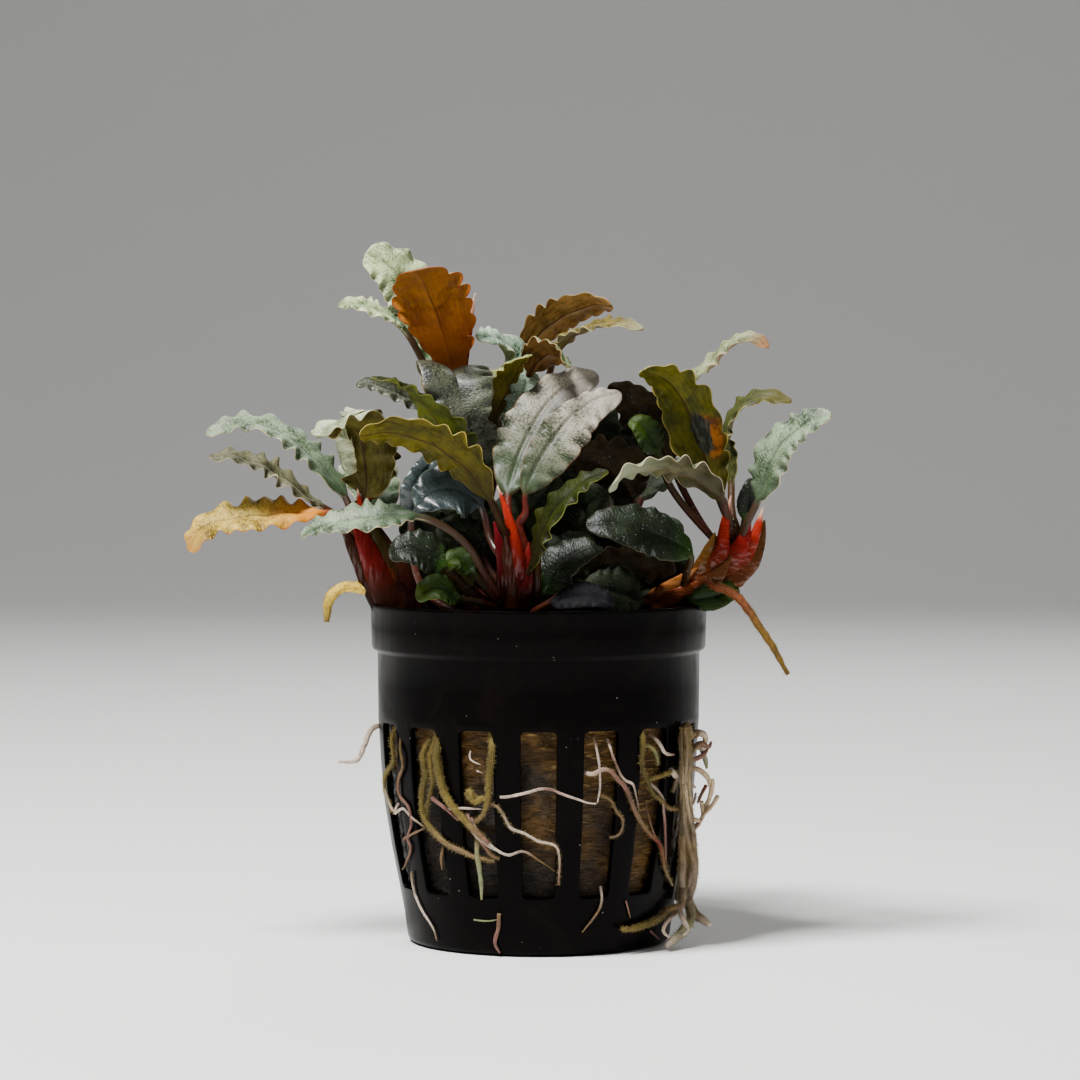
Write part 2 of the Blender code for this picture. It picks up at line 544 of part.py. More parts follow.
def leaf_rings(form):
    """Rings of a leaf: at each station an upper and a lower row of three points, edge, midrib and edge.

    The half width follows sin(pi t^skew) from the heel (t = 0) to the tip (t = 1), to a power that falls
    towards the tip, so that the tip is blunter than the heel. The edges stand above the midrib by the fold,
    and go up and down by the wave, one edge against the other. The tip hangs by the droop."""
    line, stalk_share = leaf_line(form)
    steps = BLADE_ENDS + (1 - 2 * BLADE_ENDS) * (np.arange(BLADE_STATIONS) + 0.5) / BLADE_STATIONS
    share = np.concatenate([[0, stalk_share], stalk_share + (1 - stalk_share) * steps, [1]])
    t = np.clip((share - stalk_share) / (1 - stalk_share), 0, 1)
    total = lengths(line)[-1]
    centre = points_at(line, share * total)
    even = points_at(line, np.linspace(0, total, 200))
    turn = np.clip((np.linspace(0, 1, 200) - stalk_share) / (1 - stalk_share), 0, 1)[:, None]
    along = unit(np.gradient(even, axis=0))
    top = unit(np.array(form["top"], float)) * (1 - turn) + unit(np.array(form["top_tip"], float)) * turn
    normal = unit(top - along * np.sum(top * along, axis=1, keepdims=True))
    side = unit(rows_at(np.cross(along, normal), share))
    normal = unit(rows_at(normal, share))

    power = form["full"] * (1.1 - 0.5 * ease(t, 0.45, 1.0))
    shape = np.where(t > 0, np.clip(np.sin(np.pi * t ** form["skew"]), 0, None) ** power, 0)
    root_half = STALK_HALF_WIDTH * (1 - t) + TIP_HALF_WIDTH * t
    half = root_half + (form["width"] / 2 - root_half / 2) * shape
    swell = np.clip(np.sin(np.pi * t**0.9), 0, 1) ** 0.6
    wave = np.sin(2 * np.pi * EDGE_WAVES * t + form["phase"])
    near_stalk = np.clip(1 - 6 * t, 0, 1)
    rib = MIDRIB_THICKNESS * (1 - t) + TIP_THICKNESS * t + STALK_EXTRA * near_stalk
    edge = EDGE_THICKNESS + STALK_EDGE * near_stalk
    droop = TIP_DROOP * ease(t, 0.78, 1.0) ** 2
    upper, lower = [], []
    for v in (-1, 0, 1):
        signed = wave * (-1 if v > 0 else 1)
        lift = abs(v) * (form["fold"] * half * shape + form["wave"] * swell * signed) - droop
        wide = v * half * (1 + EDGE_SCALLOP * swell * signed)
        middle = centre + side * wide[:, None] + normal * lift[:, None]
        thick = (edge if v else rib)[:, None] / 2
        upper.append(middle + normal * thick)
        lower.append(middle - normal * thick)
    return np.stack(upper[::-1] + lower, axis=1)


def on_wall(route, radius):
    """Points outside the pot's wall for a root of this radius, from (degrees from the front, height)."""
    points = []
    for degrees, z in route:
        angle = math.radians(degrees - 90)
        r = wall_radius(z) + radius + GAP
        points.append((r * math.cos(angle), r * math.sin(angle), z))
    return points


def root(name, axis, radii, material):
    """A root: a tapered tube along its axis points."""
    return add_object(name, *skin(tube(axis, radii, ROOT_SIDES, 2 * len(axis))), material)


def main():
    for thing in list(bpy.data.objects):
        bpy.data.objects.remove(thing, do_unlink=True)
    materials = {name: make_material(name) for name in FINISHES}
    net_pot(materials["pot_plastic"])
    growing_medium(materials["mineral_wool"])
    for name, form in CROWNS.items():
        crown(name, form, materials["crown_red"])
    for name, form in LEAVES.items():
        finish = form.get("finish", "leaf_silver")
        add_object(name, *skin(leaf_rings(form), two_sided=True), materials[finish])
    for name, (route, radii) in WALL_ROOTS.items():
        root(name, on_wall(route, max(radii)), radii, materials["root_pale"])
    route, radii = RIGHT_ROOT_TRUNK
    bundle = root("root_right_bundle", on_wall(route, max(radii)), radii, materials["root_pale"])
    for i, (axis, fork_radii) in enumerate(RIGHT_ROOT_FORKS):
        fork = root(f"root_right_fork_{i + 1}", axis, fork_radii, materials["root_pale"])
        fuse(bundle, fork)
    for name, (axis, radii) in FREE_ROOTS.items():
        root(name, axis, radii, materials["root_pale"])


main()
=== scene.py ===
"""Bucephalandra in a slotted net pot: leaves, crowns, roots, pot and mineral wool as fine surfaces.

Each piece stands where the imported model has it. Shapes are worked out in millimetres, with the pot's axis on
the z axis, its foot on z = 0 and its front towards -y, and are turned into metres when a mesh is made.
"""

import json
import math

import bmesh
import bpy
import numpy as np
from bpy.props import FloatProperty, FloatVectorProperty, IntProperty, PointerProperty
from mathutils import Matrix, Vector

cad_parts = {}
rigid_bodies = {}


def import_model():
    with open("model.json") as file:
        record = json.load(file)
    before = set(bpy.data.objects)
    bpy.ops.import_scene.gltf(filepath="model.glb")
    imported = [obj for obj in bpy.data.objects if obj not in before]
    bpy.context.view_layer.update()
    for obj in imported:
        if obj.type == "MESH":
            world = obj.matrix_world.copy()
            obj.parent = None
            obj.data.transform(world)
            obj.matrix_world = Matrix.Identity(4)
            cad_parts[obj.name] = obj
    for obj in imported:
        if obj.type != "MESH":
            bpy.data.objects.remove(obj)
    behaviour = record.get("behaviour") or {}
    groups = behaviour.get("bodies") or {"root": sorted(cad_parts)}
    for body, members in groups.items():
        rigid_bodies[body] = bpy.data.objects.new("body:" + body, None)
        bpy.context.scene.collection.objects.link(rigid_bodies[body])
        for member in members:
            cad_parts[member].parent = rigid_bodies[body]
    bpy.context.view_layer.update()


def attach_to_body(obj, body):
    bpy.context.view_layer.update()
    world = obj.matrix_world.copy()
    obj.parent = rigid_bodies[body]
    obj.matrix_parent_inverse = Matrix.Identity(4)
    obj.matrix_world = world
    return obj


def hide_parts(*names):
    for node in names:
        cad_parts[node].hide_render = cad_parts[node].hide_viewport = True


bl_info = {
    "name": "Bucephalandra in a Net Pot",
    "version": (1, 0, 0),
    "blender": (4, 5, 0),
    "location": "3D View > Sidebar > Plant",
    "description": "Builds a bucephalandra with wavy leaves and red crowns in a small slotted net pot",
    "category": "Add Mesh",
}

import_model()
MM = 0.001
BODY = "root"

# Net pot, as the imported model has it
RIM_RADIUS = 25.0
RIM_HEIGHT = 50.0
COLLAR_HEIGHT = 43.3
WALL = 0.9
FLOOR = 1.4
SLOTS = 16
SLOT_PITCH = 360 / SLOTS
SLOT_BOTTOM = 8.5
SLOT_TOP = 32.8
SLOT_ANGLE = 13.0
SLOT_SHARE = SLOT_ANGLE / SLOT_PITCH
CELL_BOTTOM = 6.2
CELL_TOP = 36.0
POT_PROFILE = [
    (18.2, 0.0), (18.75, 0.12), (19.2, 0.45), (19.45, 1.0), (19.9, 4.3), (20.65, 8.5), (21.6, 13.0),
    (22.85, 20.5), (23.4, 26.5), (23.75, 32.8), (23.8, 38.0), (23.82, 42.7), (23.95, 43.0),
    (24.55, 43.35), (24.7, 43.7), (24.78, 46.5), (24.85, 49.0), (25.0, 49.5), (RIM_RADIUS, RIM_HEIGHT),
]
HUB_RADIUS = 5.0
FLOOR_SLOT_RADIUS = 14.5
FLOOR_RINGS = [1.2, HUB_RADIUS, 8.0, 11.5, FLOOR_SLOT_RADIUS, POT_PROFILE[0][0]]
EDGE_RADIUS = 0.16  # of the pot's edges, softened where its faces meet at more than the angle below
EDGE_ANGLE = 50
# Columns and rows of a slot's cell, as shares of its half
CROSS_STEPS = [-1.0, -0.87, -0.74, -0.6, 0.0, 0.6, 0.74, 0.87]
UP_STEPS = [-1.0, -0.974, -0.948, -0.92, -0.5, 0.0, 0.5, 0.92, 0.948, 0.974, 1.0]

# Crowns and stems: points of the axis, radii along it, and the spikes that grow from it. Fingers are the old
# leaf bases on its sides, each with the colour of its end, its radii and its route
CROWNS = {
    "crown_left": {
        "axis": [(-19, -4, 45), (-19.5, -4, 49.5), (-23.3, -4, 55.5), (-26.5, -3.5, 61), (-28, -3, 64)],
        "radii": [3.2, 3.2, 2.7, 1.9, 0.9],
        "spikes": [[(-22.5, -5, 55), (-25.5, -6, 62.5), (-26.5, -6, 67)]],
        "fingers": [
            ((0.034, 0.01, 0.004), [2.0, 2.0, 1.7, 1.0, 0.15],
             [(-18.8, -4.8, 48.5), (-20.5, -5.6, 54.5), (-23.6, -5.8, 61.8)]),
            ((0.03, 0.022, 0.005), [1.8, 1.8, 1.6, 1.0, 0.15],
             [(-20.2, -5.2, 48.5), (-22.5, -6.0, 56.5), (-25.6, -6, 64.5)]),
            ((0.11, 0.004, 0.003), [2.0, 2.1, 1.8, 1.2, 0.15],
             [(-21.2, -5.6, 48.5), (-24.1, -6.5, 56), (-27.4, -6.5, 63.4)]),
            ((0.026, 0.008, 0.003), [1.9, 1.8, 1.5, 1.0, 0.15],
             [(-22.2, -4.8, 48.5), (-25.6, -5.4, 55.5), (-29.2, -5.4, 62.2)]),
        ],
    },
    "crown_centre": {
        "axis": [(-3.5, -13, 45), (-3.5, -13, 49), (-3.5, -13.5, 54), (-3.5, -14, 59), (-4, -14, 62)],
        "radii": [2.6, 2.7, 2.8, 2.1, 0.9],
        "spikes": [[(-2.4, -15.4, 52), (-2.9, -16.4, 57), (-4.3, -16.4, 63), (-5.9, -15.9, 67.6)]],
        "fingers": [
            ((0.1, 0.003, 0.005), [1.5, 1.5, 1.1, 0.7, 0.12],
             [(-4.0, -14.6, 49), (-4.8, -15.4, 55), (-6.4, -15.4, 62.5)]),
            ((0.034, 0.012, 0.002), [1.5, 1.4, 1.1, 0.7, 0.12],
             [(-1.2, -14.4, 48), (-0.6, -15.0, 53), (0.2, -15.6, 57)]),
            ((0.045, 0.01, 0.003), [1.1, 1.1, 0.9, 0.7, 0.12],
             [(-3.8, -15.6, 50), (-4.2, -16.4, 55), (-4.9, -17.2, 61.5)]),
            ((0.1, 0.004, 0.003), [1.3, 1.4, 1.1, 0.7, 0.12],
             [(-1.9, -15.2, 50), (-1.8, -16.2, 55), (-1.4, -15.6, 59.5)]),
        ],
    },
    "rhizome_right": {
        "axis": [(14, -3, 45.5), (17.5, -3.2, 49.5), (22, -4, 52), (27, -4, 54.5), (29.5, -4, 58.5)],
        "radii": [2.2, 2.2, 2.2, 2.9, 1.6],
        "spikes": [
            [(29, -5.5, 55), (31.2, -6.4, 59), (32.8, -6, 64.2)],
            [(27.4, -6, 54.5), (27, -7, 60), (28.1, -6.6, 66)],
        ],
        "fingers": [
            ((0.11, 0.048, 0.007), [1.0, 1.6, 1.3, 0.8, 0.12],
             [(22.4, -4.4, 52), (24.2, -6, 56), (25.8, -6.6, 60.6)]),
            ((0.07, 0.026, 0.006), [1.8, 2.0, 1.6, 0.9, 0.12],
             [(26.0, -5.0, 52.8), (30.0, -5.6, 55.4), (32.1, -5.6, 58.6), (33.1, -5.4, 62.4)]),
            ((0.17, 0.005, 0.004), [1.0, 1.7, 1.5, 0.9, 0.12],
             [(26.8, -5.4, 54.4), (29, -6.8, 57.6), (31, -6.6, 62)]),
            ((0.12, 0.006, 0.003), [1.2, 1.5, 1.2, 0.8, 0.12],
             [(24.6, -5, 53.4), (26.6, -7, 57.4), (27.3, -6.8, 62.6)]),
            ((0.09, 0.03, 0.008), [1.2, 1.6, 1.2, 0.7, 0.12],
             [(22.4, -5, 51.8), (25.8, -7.2, 54), (28.2, -7.4, 57.4)]),
            ((0.3, 0.1, 0.018), [0.9, 1.3, 1.1, 0.7, 0.12],
             [(15.4, -4.4, 50), (18.6, -5.4, 52), (23.2, -6.4, 55.4)]),
            ((0.22, 0.048, 0.012), [0.9, 1.2, 1.1, 0.7, 0.12],
             [(16.6, -5.0, 49.4), (20.4, -6.1, 51.4), (25.2, -7, 53.8)]),
        ],
    },
    "stem_back_left": {
        "axis": [(-9, 3, 45), (-9, 3, 50), (-9.5, 4, 59), (-10.5, 4.5, 69.5), (-12.5, 4.5, 78)],
        "radii": [2.2, 2.1, 1.7, 1.2, 0.9],
        "spikes": [[(-12, 5, 76.5), (-11.6, 4.6, 84), (-10.4, 3.6, 90.5), (-9.4, 2, 95.8)]],
        "fingers": [],
    },
    "stem_back": {
        "axis": [(-3, 10, 45), (-3, 10, 49), (-2.5, 11, 57.5), (-3, 10.5, 66.5), (-3.5, 10, 73.5)],
        "radii": [2.4, 2.4, 1.9, 1.4, 0.9],
        "spikes": [],
        "fingers": [],
    },
    "stem_back_right": {
        "axis": [(10.5, 9, 45), (10.5, 9, 49), (12, 9, 54.5), (13.5, 8, 60.5)],
        "radii": [2.4, 2.4, 2.0, 1.1],
        "spikes": [],
        "fingers": [],
    },
}


def leaf_form(crown, attach, stalk, blade, width, top, look, more=()):
    """A leaf's measures: the share of its crown's axis at which it leaves, the points that its stalk and its
    blade pass through, the blade's width, the way its upper side faces, and its look. More holds what differs
    from the usual: the way the tip faces, the depth of the trough (fold) and of the margin's waves and lobes,
    the outline's skew and fullness, the angle by which the second side is folded over the underside (curl),
    and the share of the first side that has grown (first)."""
    form = {"crown": crown, "attach": attach, "stalk": stalk, "blade": blade, "width": width, "top": top}
    form.update({"look": look, "top_tip": top, "fold": 0.18, "wave": 0.5, "skew": 0.82, "full": 0.8})
    form.update({"curl": 0.0, "first": 1.0, "lobe": 1.0})
    form.update(more)
    return form


def leaves_on(crown, rows):
    """Leaves of one crown by name, each from its row of measures."""
    return {name: leaf_form(crown, *row) for name, row in rows.items()}


# Leaves by crown. A row has the share of the crown's axis, the stalk's and the blade's points, and so on
LEAVES = {
    **leaves_on("crown_left", {
        "leaf_left_high": (0.95, [],
            [(-28.6, -2, 65.8), (-33.5, -1, 71.5), (-41.2, -1, 76.3), (-49, -3, 75.6)], 7.4,
            (0.3, -0.35, 0.9), "sage"),
        "leaf_left_slim": (0.88, [],
            [(-32, -5, 64.5), (-35.5, -7, 67), (-40.5, -9, 70.5), (-47.5, -11, 72.5)], 5.4,
            (0.2, -0.45, 0.9), "dusty", {"wave": 1.1}),
        "leaf_left_orange": (0.75, [(-28.5, -7, 63)],
            [(-32, -8, 63.5), (-40.5, -9, 63), (-48.3, -10, 61.5), (-51.2, -10, 58.1)], 7.5,
            (0.1, -0.55, 0.85), "tan", {"wave": 0.6}),
        "leaf_left_upright": (1.0, [],
            [(-25.5, -5, 66), (-25.5, -6, 72), (-27, -10, 76.5), (-32, -15, 75.5)], 9, (0.1, 0.95, 0.1),
            "umber", {"top_tip": (-0.3, -0.3, 0.9), "wave": 0.85, "full": 0.55, "skew": 0.78,
            "curl": 2.7}),
        "leaf_left_behind": (1.0, [], [(-25, 0, 65.5), (-24, 2, 72), (-25, 1, 77), (-28.5, -4, 78.5)], 6.5,
            (0.3, 0.6, 0.5), "umber", {"top_tip": (0, -0.1, 1), "wave": 0.85}),
    }),
    **leaves_on("crown_centre", {
        "leaf_front_long": (0.2, [(-7.5, -17.5, 54.5), (-10, -20, 59), (-13.5, -22, 62)],
            [(-17.5, -23, 63.5), (-25.5, -24, 63), (-34, -23, 61.5)], 7, (0, -0.5, 0.85), "sage",
            {"wave": 0.35}),
        "leaf_front_olive": (0.82, [(-5.5, -18.5, 62.5)],
            [(-7, -19, 66), (-11, -21, 71), (-17.5, -23.9, 74.8), (-25.4, -25.7, 75.6)], 7.4,
            (0.35, 0.75, 0.6), "olive", {"wave": 0.6}),
        "leaf_stalked_left": (0.14, [(-16.5, -9, 52)],
            [(-18.5, -7, 63), (-17, -7, 67.5), (-15.4, -6.5, 72)], 5.5, (0.2, -0.95, 0.1), "steel",
            {"wave": 0.1}),
        "leaf_round_silver": (0.6, [(-7, -9, 59.5)], [(-8.5, -8, 64.5), (-13, -11, 67), (-17.5, -14, 65)],
            9, (0, -0.8, 0.55), "steel", {"wave": 0.15, "fold": 0.04}),
        "leaf_centre_broad": (1.0, [],
            [(-4.4, -12, 66.3), (-1.4, -7.5, 75), (3, -4.5, 81), (8.8, -3.2, 83.9)], 8.4,
            (-0.1, -0.9, 0.4), "shaded", {"wave": 0.45, "fold": 0.06}),
        "leaf_centre_front": (0.95, [(-2, -15, 63.5)],
            [(-2, -15, 66.5), (2.2, -12, 74.4), (6.8, -9, 79), (12.2, -7, 81.3)], 8.2, (0.2, -0.9, 0.45),
            "silver", {"wave": 0.5, "fold": 0.06, "first": 0.62}),
        "leaf_front_lime": (0.45, [], [(-1, -17, 56), (1.5, -20, 63), (5.5, -21, 67.5), (9.5, -21, 70.5)],
            6, (-0.55, -0.5, 0.65), "lime"),
        "leaf_low_streaked": (0.3, [],
            [(0.5, -14.6, 52.3), (3, -15, 56.3), (6, -15.5, 58.2), (9, -15.5, 59.5)], 6.5, (0, -0.7, 0.7),
            "shade", {"wave": 0.05, "fold": 0.05}),
        "leaf_rim_violet": (0.14, [], [(2, -18, 51), (6.5, -20.5, 52), (11, -21, 51.2)], 5, (0, -0.7, 0.7),
            "violet", {"wave": 0.0}),
        "leaf_rim_green": (0.16, [(-7.5, -15, 50.5)],
            [(-11.5, -17, 51.5), (-14.5, -19, 53), (-17.5, -20, 52)], 5.2, (0, -0.7, 0.7), "green",
            {"wave": 0.05}),
        "leaf_low_left": (0.22, [(-10, -12, 52.5)],
            [(-13.5, -13.5, 56), (-17.5, -15.5, 58.5), (-21.5, -16.5, 58)], 6.8, (0, -0.75, 0.6), "shade",
            {"wave": 0.05, "fold": 0.08}),
        "leaf_low_inner": (0.35, [(-7, -7, 55)], [(-8.5, -6, 57.5), (-11, -7, 60.5), (-14.5, -9, 61)], 6,
            (0, -0.8, 0.6), "dark", {"wave": 0.4}),
        "leaf_low_brown": (0.22, [(1.5, -10, 50.5)], [(4.5, -9, 52.5), (12, -8, 55), (20, -8, 56)], 8.5,
            (0, 0.75, 0.6), "dark"),
    }),
    **leaves_on("stem_back_left", {
        "leaf_top_pale": (1.0, [], [(-15, 8, 85.5), (-19.5, 10, 96.4), (-25.4, 8, 102.2)], 9,
            (0.2, -0.9, 0.5), "pale", {"wave": 0.6, "full": 0.55, "skew": 1.15, "lobe": 1.5}),
        "leaf_top_orange": (1.0, [],
            [(-12.4, 2.6, 83), (-13.5, 0, 88), (-15.2, -4.5, 93.5), (-17.7, -12, 99.4)], 10.2,
            (0, 0.75, 0.6), "rust", {"wave": 0.8, "full": 0.55, "skew": 1.3, "lobe": 2.2}),
        "leaf_top_curled": (0.92, [(-16.5, 1, 84.5)], [(-20, -1, 90.5), (-24, -4, 93), (-29, -6, 94.5)],
            5.5, (0, -0.5, 0.85), "pale", {"wave": 0.4}),
        "leaf_mid_lime": (0.58, [],
            [(-11.2, -7, 72), (-14.2, -12.6, 76.6), (-18.4, -16, 81.2), (-23.5, -17.5, 84)], 7.5,
            (0.4, 0.5, 0.75), "lime", {"top_tip": (0.1, -0.1, 1), "skew": 0.6}),
        "leaf_mid_dark": (0.77, [], [(-15, -1, 77.5), (-21, -3, 81), (-26.5, -4, 83)], 5.5,
            (0, -0.5, 0.85), "grey", {"wave": 0.4}),
        "leaf_mid_grey": (0.7, [(-10.2, -0.6, 75.8)],
            [(-12.3, -2.4, 81), (-12.7, -4.4, 84.2), (-12.3, -7.4, 83.4), (-11, -9.2, 79.4),
             (-10, -9.6, 75.6)], 11, (0, 0.8, 0.4), "grey",
            {"top_tip": (0, -0.9, 0.45), "full": 0.6, "wave": 0.3}),
    }),
    **leaves_on("stem_back", {
        "leaf_crest_pale": (0.92, [(-6, 7, 76.5)],
            [(-5.5, 7, 78.5), (-4.6, 6, 84), (-5.4, 2, 88), (-8.4, -3.5, 89.6)], 7, (-0.1, -0.9, 0.3),
            "mint", {"top_tip": (0.3, -0.5, 0.8)}),
        "leaf_crest_folded": (0.82, [], [(-6.5, 0.5, 77), (-4.5, -2, 82), (-1.8, -6.5, 87)], 6,
            (-0.6, 0.5, 0.5), "olive", {"fold": 0.5, "wave": 0.3}),
        "leaf_crest_brown": (1.0, [], [(-2, 8, 87), (3.5, 3, 92.5), (11, -3, 94.5)], 6, (-0.2, 0.8, 0.5),
            "brown", {"full": 0.7, "lobe": 1.6}),
        "leaf_crest_wavy": (1.0, [(0.8, 5, 81)], [(2.8, 0.5, 87.3), (7.5, -6, 90.5), (15, -11, 91)], 5.5,
            (0, -0.35, 0.9), "bronze"),
        "leaf_crest_small": (0.8, [(-2.6, 4.5, 78)],
            [(-1.2, 1, 84.2), (1.5, -5, 86.8), (4.5, -11.5, 85.6)], 6, (0, 0.8, 0.5), "russet",
            {"wave": 0.5}),
    }),
    **leaves_on("rhizome_right", {
        "leaf_right_olive": (1.0, [], [(26.5, -4, 65.5), (23.6, -7, 73.5), (20, -11, 81.5), (15, -15, 85)],
            7.8, (-0.1, 0.9, 0.3), "scarred", {"top_tip": (0, 0.5, 0.8), "wave": 0.6, "skew": 0.95,
            "full": 0.65, "lobe": 2.0}),
        "leaf_right_wavy_high": (0.95, [(26.5, 4, 68)],
            [(21.5, 5, 81), (26, 4, 85.5), (30, 2, 89), (34, 0, 88.5)], 5.5, (-0.3, -0.3, 0.9), "rosy"),
        "leaf_right_wavy_low": (1.0, [(28.5, -1, 64)],
            [(28.5, 1, 68), (28, 2, 74.5), (30.5, 0, 79.5), (37, -3, 80.5)], 5.5, (-0.6, -0.3, 0.8),
            "moss"),
        "leaf_right_silver": (1.0, [(30.4, -8.4, 62)],
            [(32, -9.4, 65.5), (35, -10, 73), (41.8, -13, 78.4)], 7, (-0.45, -0.65, 0.6), "sage",
            {"wave": 0.4}),
        "leaf_right_young": (1.0, [], [(30.4, -3, 62.5), (30.9, -3.3, 65.5), (31.4, -3.3, 68.5)], 3,
            (0, -1, 0), "shade", {"wave": 0.0}),
        "leaf_right_arching": (0.95, [(27.5, -7, 63)],
            [(26.5, -9, 66), (20.5, -14, 69.5), (14.5, -17, 70), (9.5, -19, 67.5)], 6, (0, 0.45, 0.85),
            "arched", {"wave": 0.8}),
        "leaf_right_dark": (0.45, [(21.5, -8, 54.5)], [(22, -10, 57.5), (15.5, -13, 61), (7, -15, 62.5)],
            8.5, (0.1, -0.75, 0.6), "shade", {"wave": 0.1, "fold": 0.08}),
        "leaf_right_inner": (0.88, [(24, 1, 62), (21, 1, 67.5)],
            [(19.5, 0, 71), (15.5, -3, 77.5), (11, -6, 83)], 8.5, (0, 0.4, 0.8), "dark"),
    }),
    **leaves_on("stem_back_right", {
        "leaf_inner_upright": (0.95, [(14, 8, 64.5)], [(14.5, 8, 69.5), (15.5, 6, 76.5), (13.5, 5, 82)], 8,
            (0.1, -0.95, 0.2), "dark"),
        "leaf_inner_brown": (1.0, [], [(14, 4, 65.5), (9.6, 0, 70.3), (3.2, -1.5, 71.8)], 10.4,
            (0, 0.7, 0.6), "dark"),
    }),
    **leaves_on("stem_back_left", {
        "leaf_behind_top": (0.93, [], [(-13, 10, 78), (-13.5, 19, 83), (-15, 29, 81)], 8.5, (0, -0.3, 1),
            "sage", {"wave": 0.6}),
        "leaf_behind_far_left": (0.75, [], [(-15, 9, 72), (-21, 17, 76), (-28, 24, 73)], 8, (0.2, -0.2, 1),
            "silver", {"wave": 0.6}),
    }),
    **leaves_on("stem_back", {
        "leaf_behind_middle": (0.95, [], [(-2, 15, 74), (0, 24, 79), (2, 33, 77)], 9, (0, -0.3, 1),
            "silver", {"wave": 0.6}),
    }),
    **leaves_on("stem_back_right", {
        "leaf_behind_low": (0.85, [], [(8, 14, 62), (6, 23, 67), (4, 31, 64)], 8, (0, -0.3, 1), "dark",
            {"wave": 0.6}),
        "leaf_behind_right": (1.0, [], [(15.5, 13, 65), (18, 22, 70), (19, 31, 69)], 8.5, (0, -0.3, 1),
            "dark", {"wave": 0.6}),
    }),
    **leaves_on("crown_left", {
        "leaf_behind_left": (0.9, [], [(-24, 4, 63), (-26, 13, 69), (-28, 22, 67)], 8, (0, -0.3, 1),
            "sage", {"wave": 0.6}),
    }),
}

# Small young leaves and scales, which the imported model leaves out
YOUNG_LEAVES = {
    **leaves_on("crown_centre", {
        "young_leaf_front": (0.15, [(-7.5, -13, 52.5)],
            [(-9.5, -13, 55), (-11.5, -13, 57), (-13.5, -14, 56)], 4, (0, -0.7, 0.7), "green",
            {"wave": 0.2}),
    }),
    **leaves_on("stem_back_left", {
        "young_leaf_grey": (0.4, [], [(-6.5, 2, 69.5), (-7.5, 0, 73.5), (-8.5, -3, 76.5)], 6,
            (0, -0.95, 0.2), "grey"),
    }),
    **leaves_on("rhizome_right", {
        "young_leaf_lime": (0.9, [(19.5, -3, 67)],
            [(17.4, -5, 72.5), (15.8, -6.4, 75.2), (13.8, -7, 77.4)], 4.5, (0.2, -0.9, 0.4), "green",
            {"wave": 0.2, "full": 0.6}),
        "young_leaf_right": (0.5, [], [(22.2, -7.6, 50.9), (25.6, -7.6, 51.3), (29.3, -6.6, 52.9)], 3.8,
            (0, -0.95, 0.25), "green", {"wave": 0.0, "full": 0.6}),
    }),
    **leaves_on("stem_back", {
        "young_leaf_crest": (0.6, [], [(-3.5, 3, 75.5), (-2.5, 2, 80), (-1.5, 1, 84.5)], 7,
            (0, -0.95, 0.2), "mint"),
    }),
    **leaves_on("crown_centre", {
        "young_leaf_low": (0.1, [(-7, -9, 50.5)], [(-9.5, -8, 52.5), (-12.5, -8, 54), (-16, -9, 53)], 8,
            (0.1, 0.7, 0.6), "umber", {"wave": 0.2}),
    }),
}
# Dark young leaves deep inside the clump: crown, share of its axis, blade and width
INNER_LEAVES = [
    ("stem_back_left", 0.15, [(-13.5, 0.5, 55), (-17, -1, 61), (-19, -3, 66)], 8),
    ("stem_back_left", 0.2, [(-13, 4, 52), (-15.5, 3, 58), (-16, 2, 66)], 10),
    ("stem_back_left", 0.3, [(-9, -1, 55), (-10, -2, 61), (-9.5, -3, 68)], 7),
    ("stem_back_left", 0.25, [(-5, -1, 59), (-0.5, -4, 64.5), (2.5, -5, 69)], 9),
    ("stem_back", 0.4, [(-2, 4, 60), (1, 2, 67), (2.5, 1, 75)], 9),
    ("stem_back_right", 0.3, [(7, 0, 54), (3.5, -3, 57.5), (1, -5, 61)], 9),
    ("stem_back_right", 0.35, [(13, 2, 55), (17.5, -2, 59), (20.5, -5, 61.5)], 8.5),
    ("stem_back_right", 0.6, [(8, 1, 62), (7, -3, 64), (9.5, -7, 66)], 8),
    ("stem_back_right", 0.8, [(8.5, 7, 64), (8, 5, 72), (9.5, 3, 80.5)], 10),
    ("stem_back_right", 0.5, [(6.5, 3, 57), (4.5, 0, 61), (4, -2, 67.5)], 10),
    ("stem_back_right", 0.7, [(10, 6, 61), (9, 4, 66), (4, 2, 71)], 9),
    ("crown_centre", 0.15, [(-1.5, -8, 50.5), (0.5, -8.5, 55), (1.6, -9, 60.5)], 7),
    ("crown_centre", 0.3, [(1, -9, 53), (4, -8, 56.5), (8, -7, 60)], 8),
    ("rhizome_right", 0.25, [(15, -7, 50.5), (11, -9.5, 52), (6.5, -11, 52.5)], 8),
    ("rhizome_right", 0.2, [(14, 0, 50.5), (18.5, -0.5, 53.5), (23, -1, 55.5)], 6),
    ("stem_back_left", 0.2, [(-7, -3, 54), (-5.8, -5, 59), (-4.6, -6, 66)], 6),
    ("stem_back_left", 0.1, [(-8, -1, 50), (-7.2, -3, 55), (-6, -4, 61)], 6),
    ("stem_back_right", 0.5, [(9.8, 0, 55), (8.6, -2, 59.5), (7, -3, 64.5)], 6),
]
for number, (crown, attach, blade, width) in enumerate(INNER_LEAVES):
    YOUNG_LEAVES[f"young_leaf_inner_{number}"] = leaf_form(
        crown, attach, [], blade, width, (0, -0.9, 0.35), "dark", {"wave": 0.15})


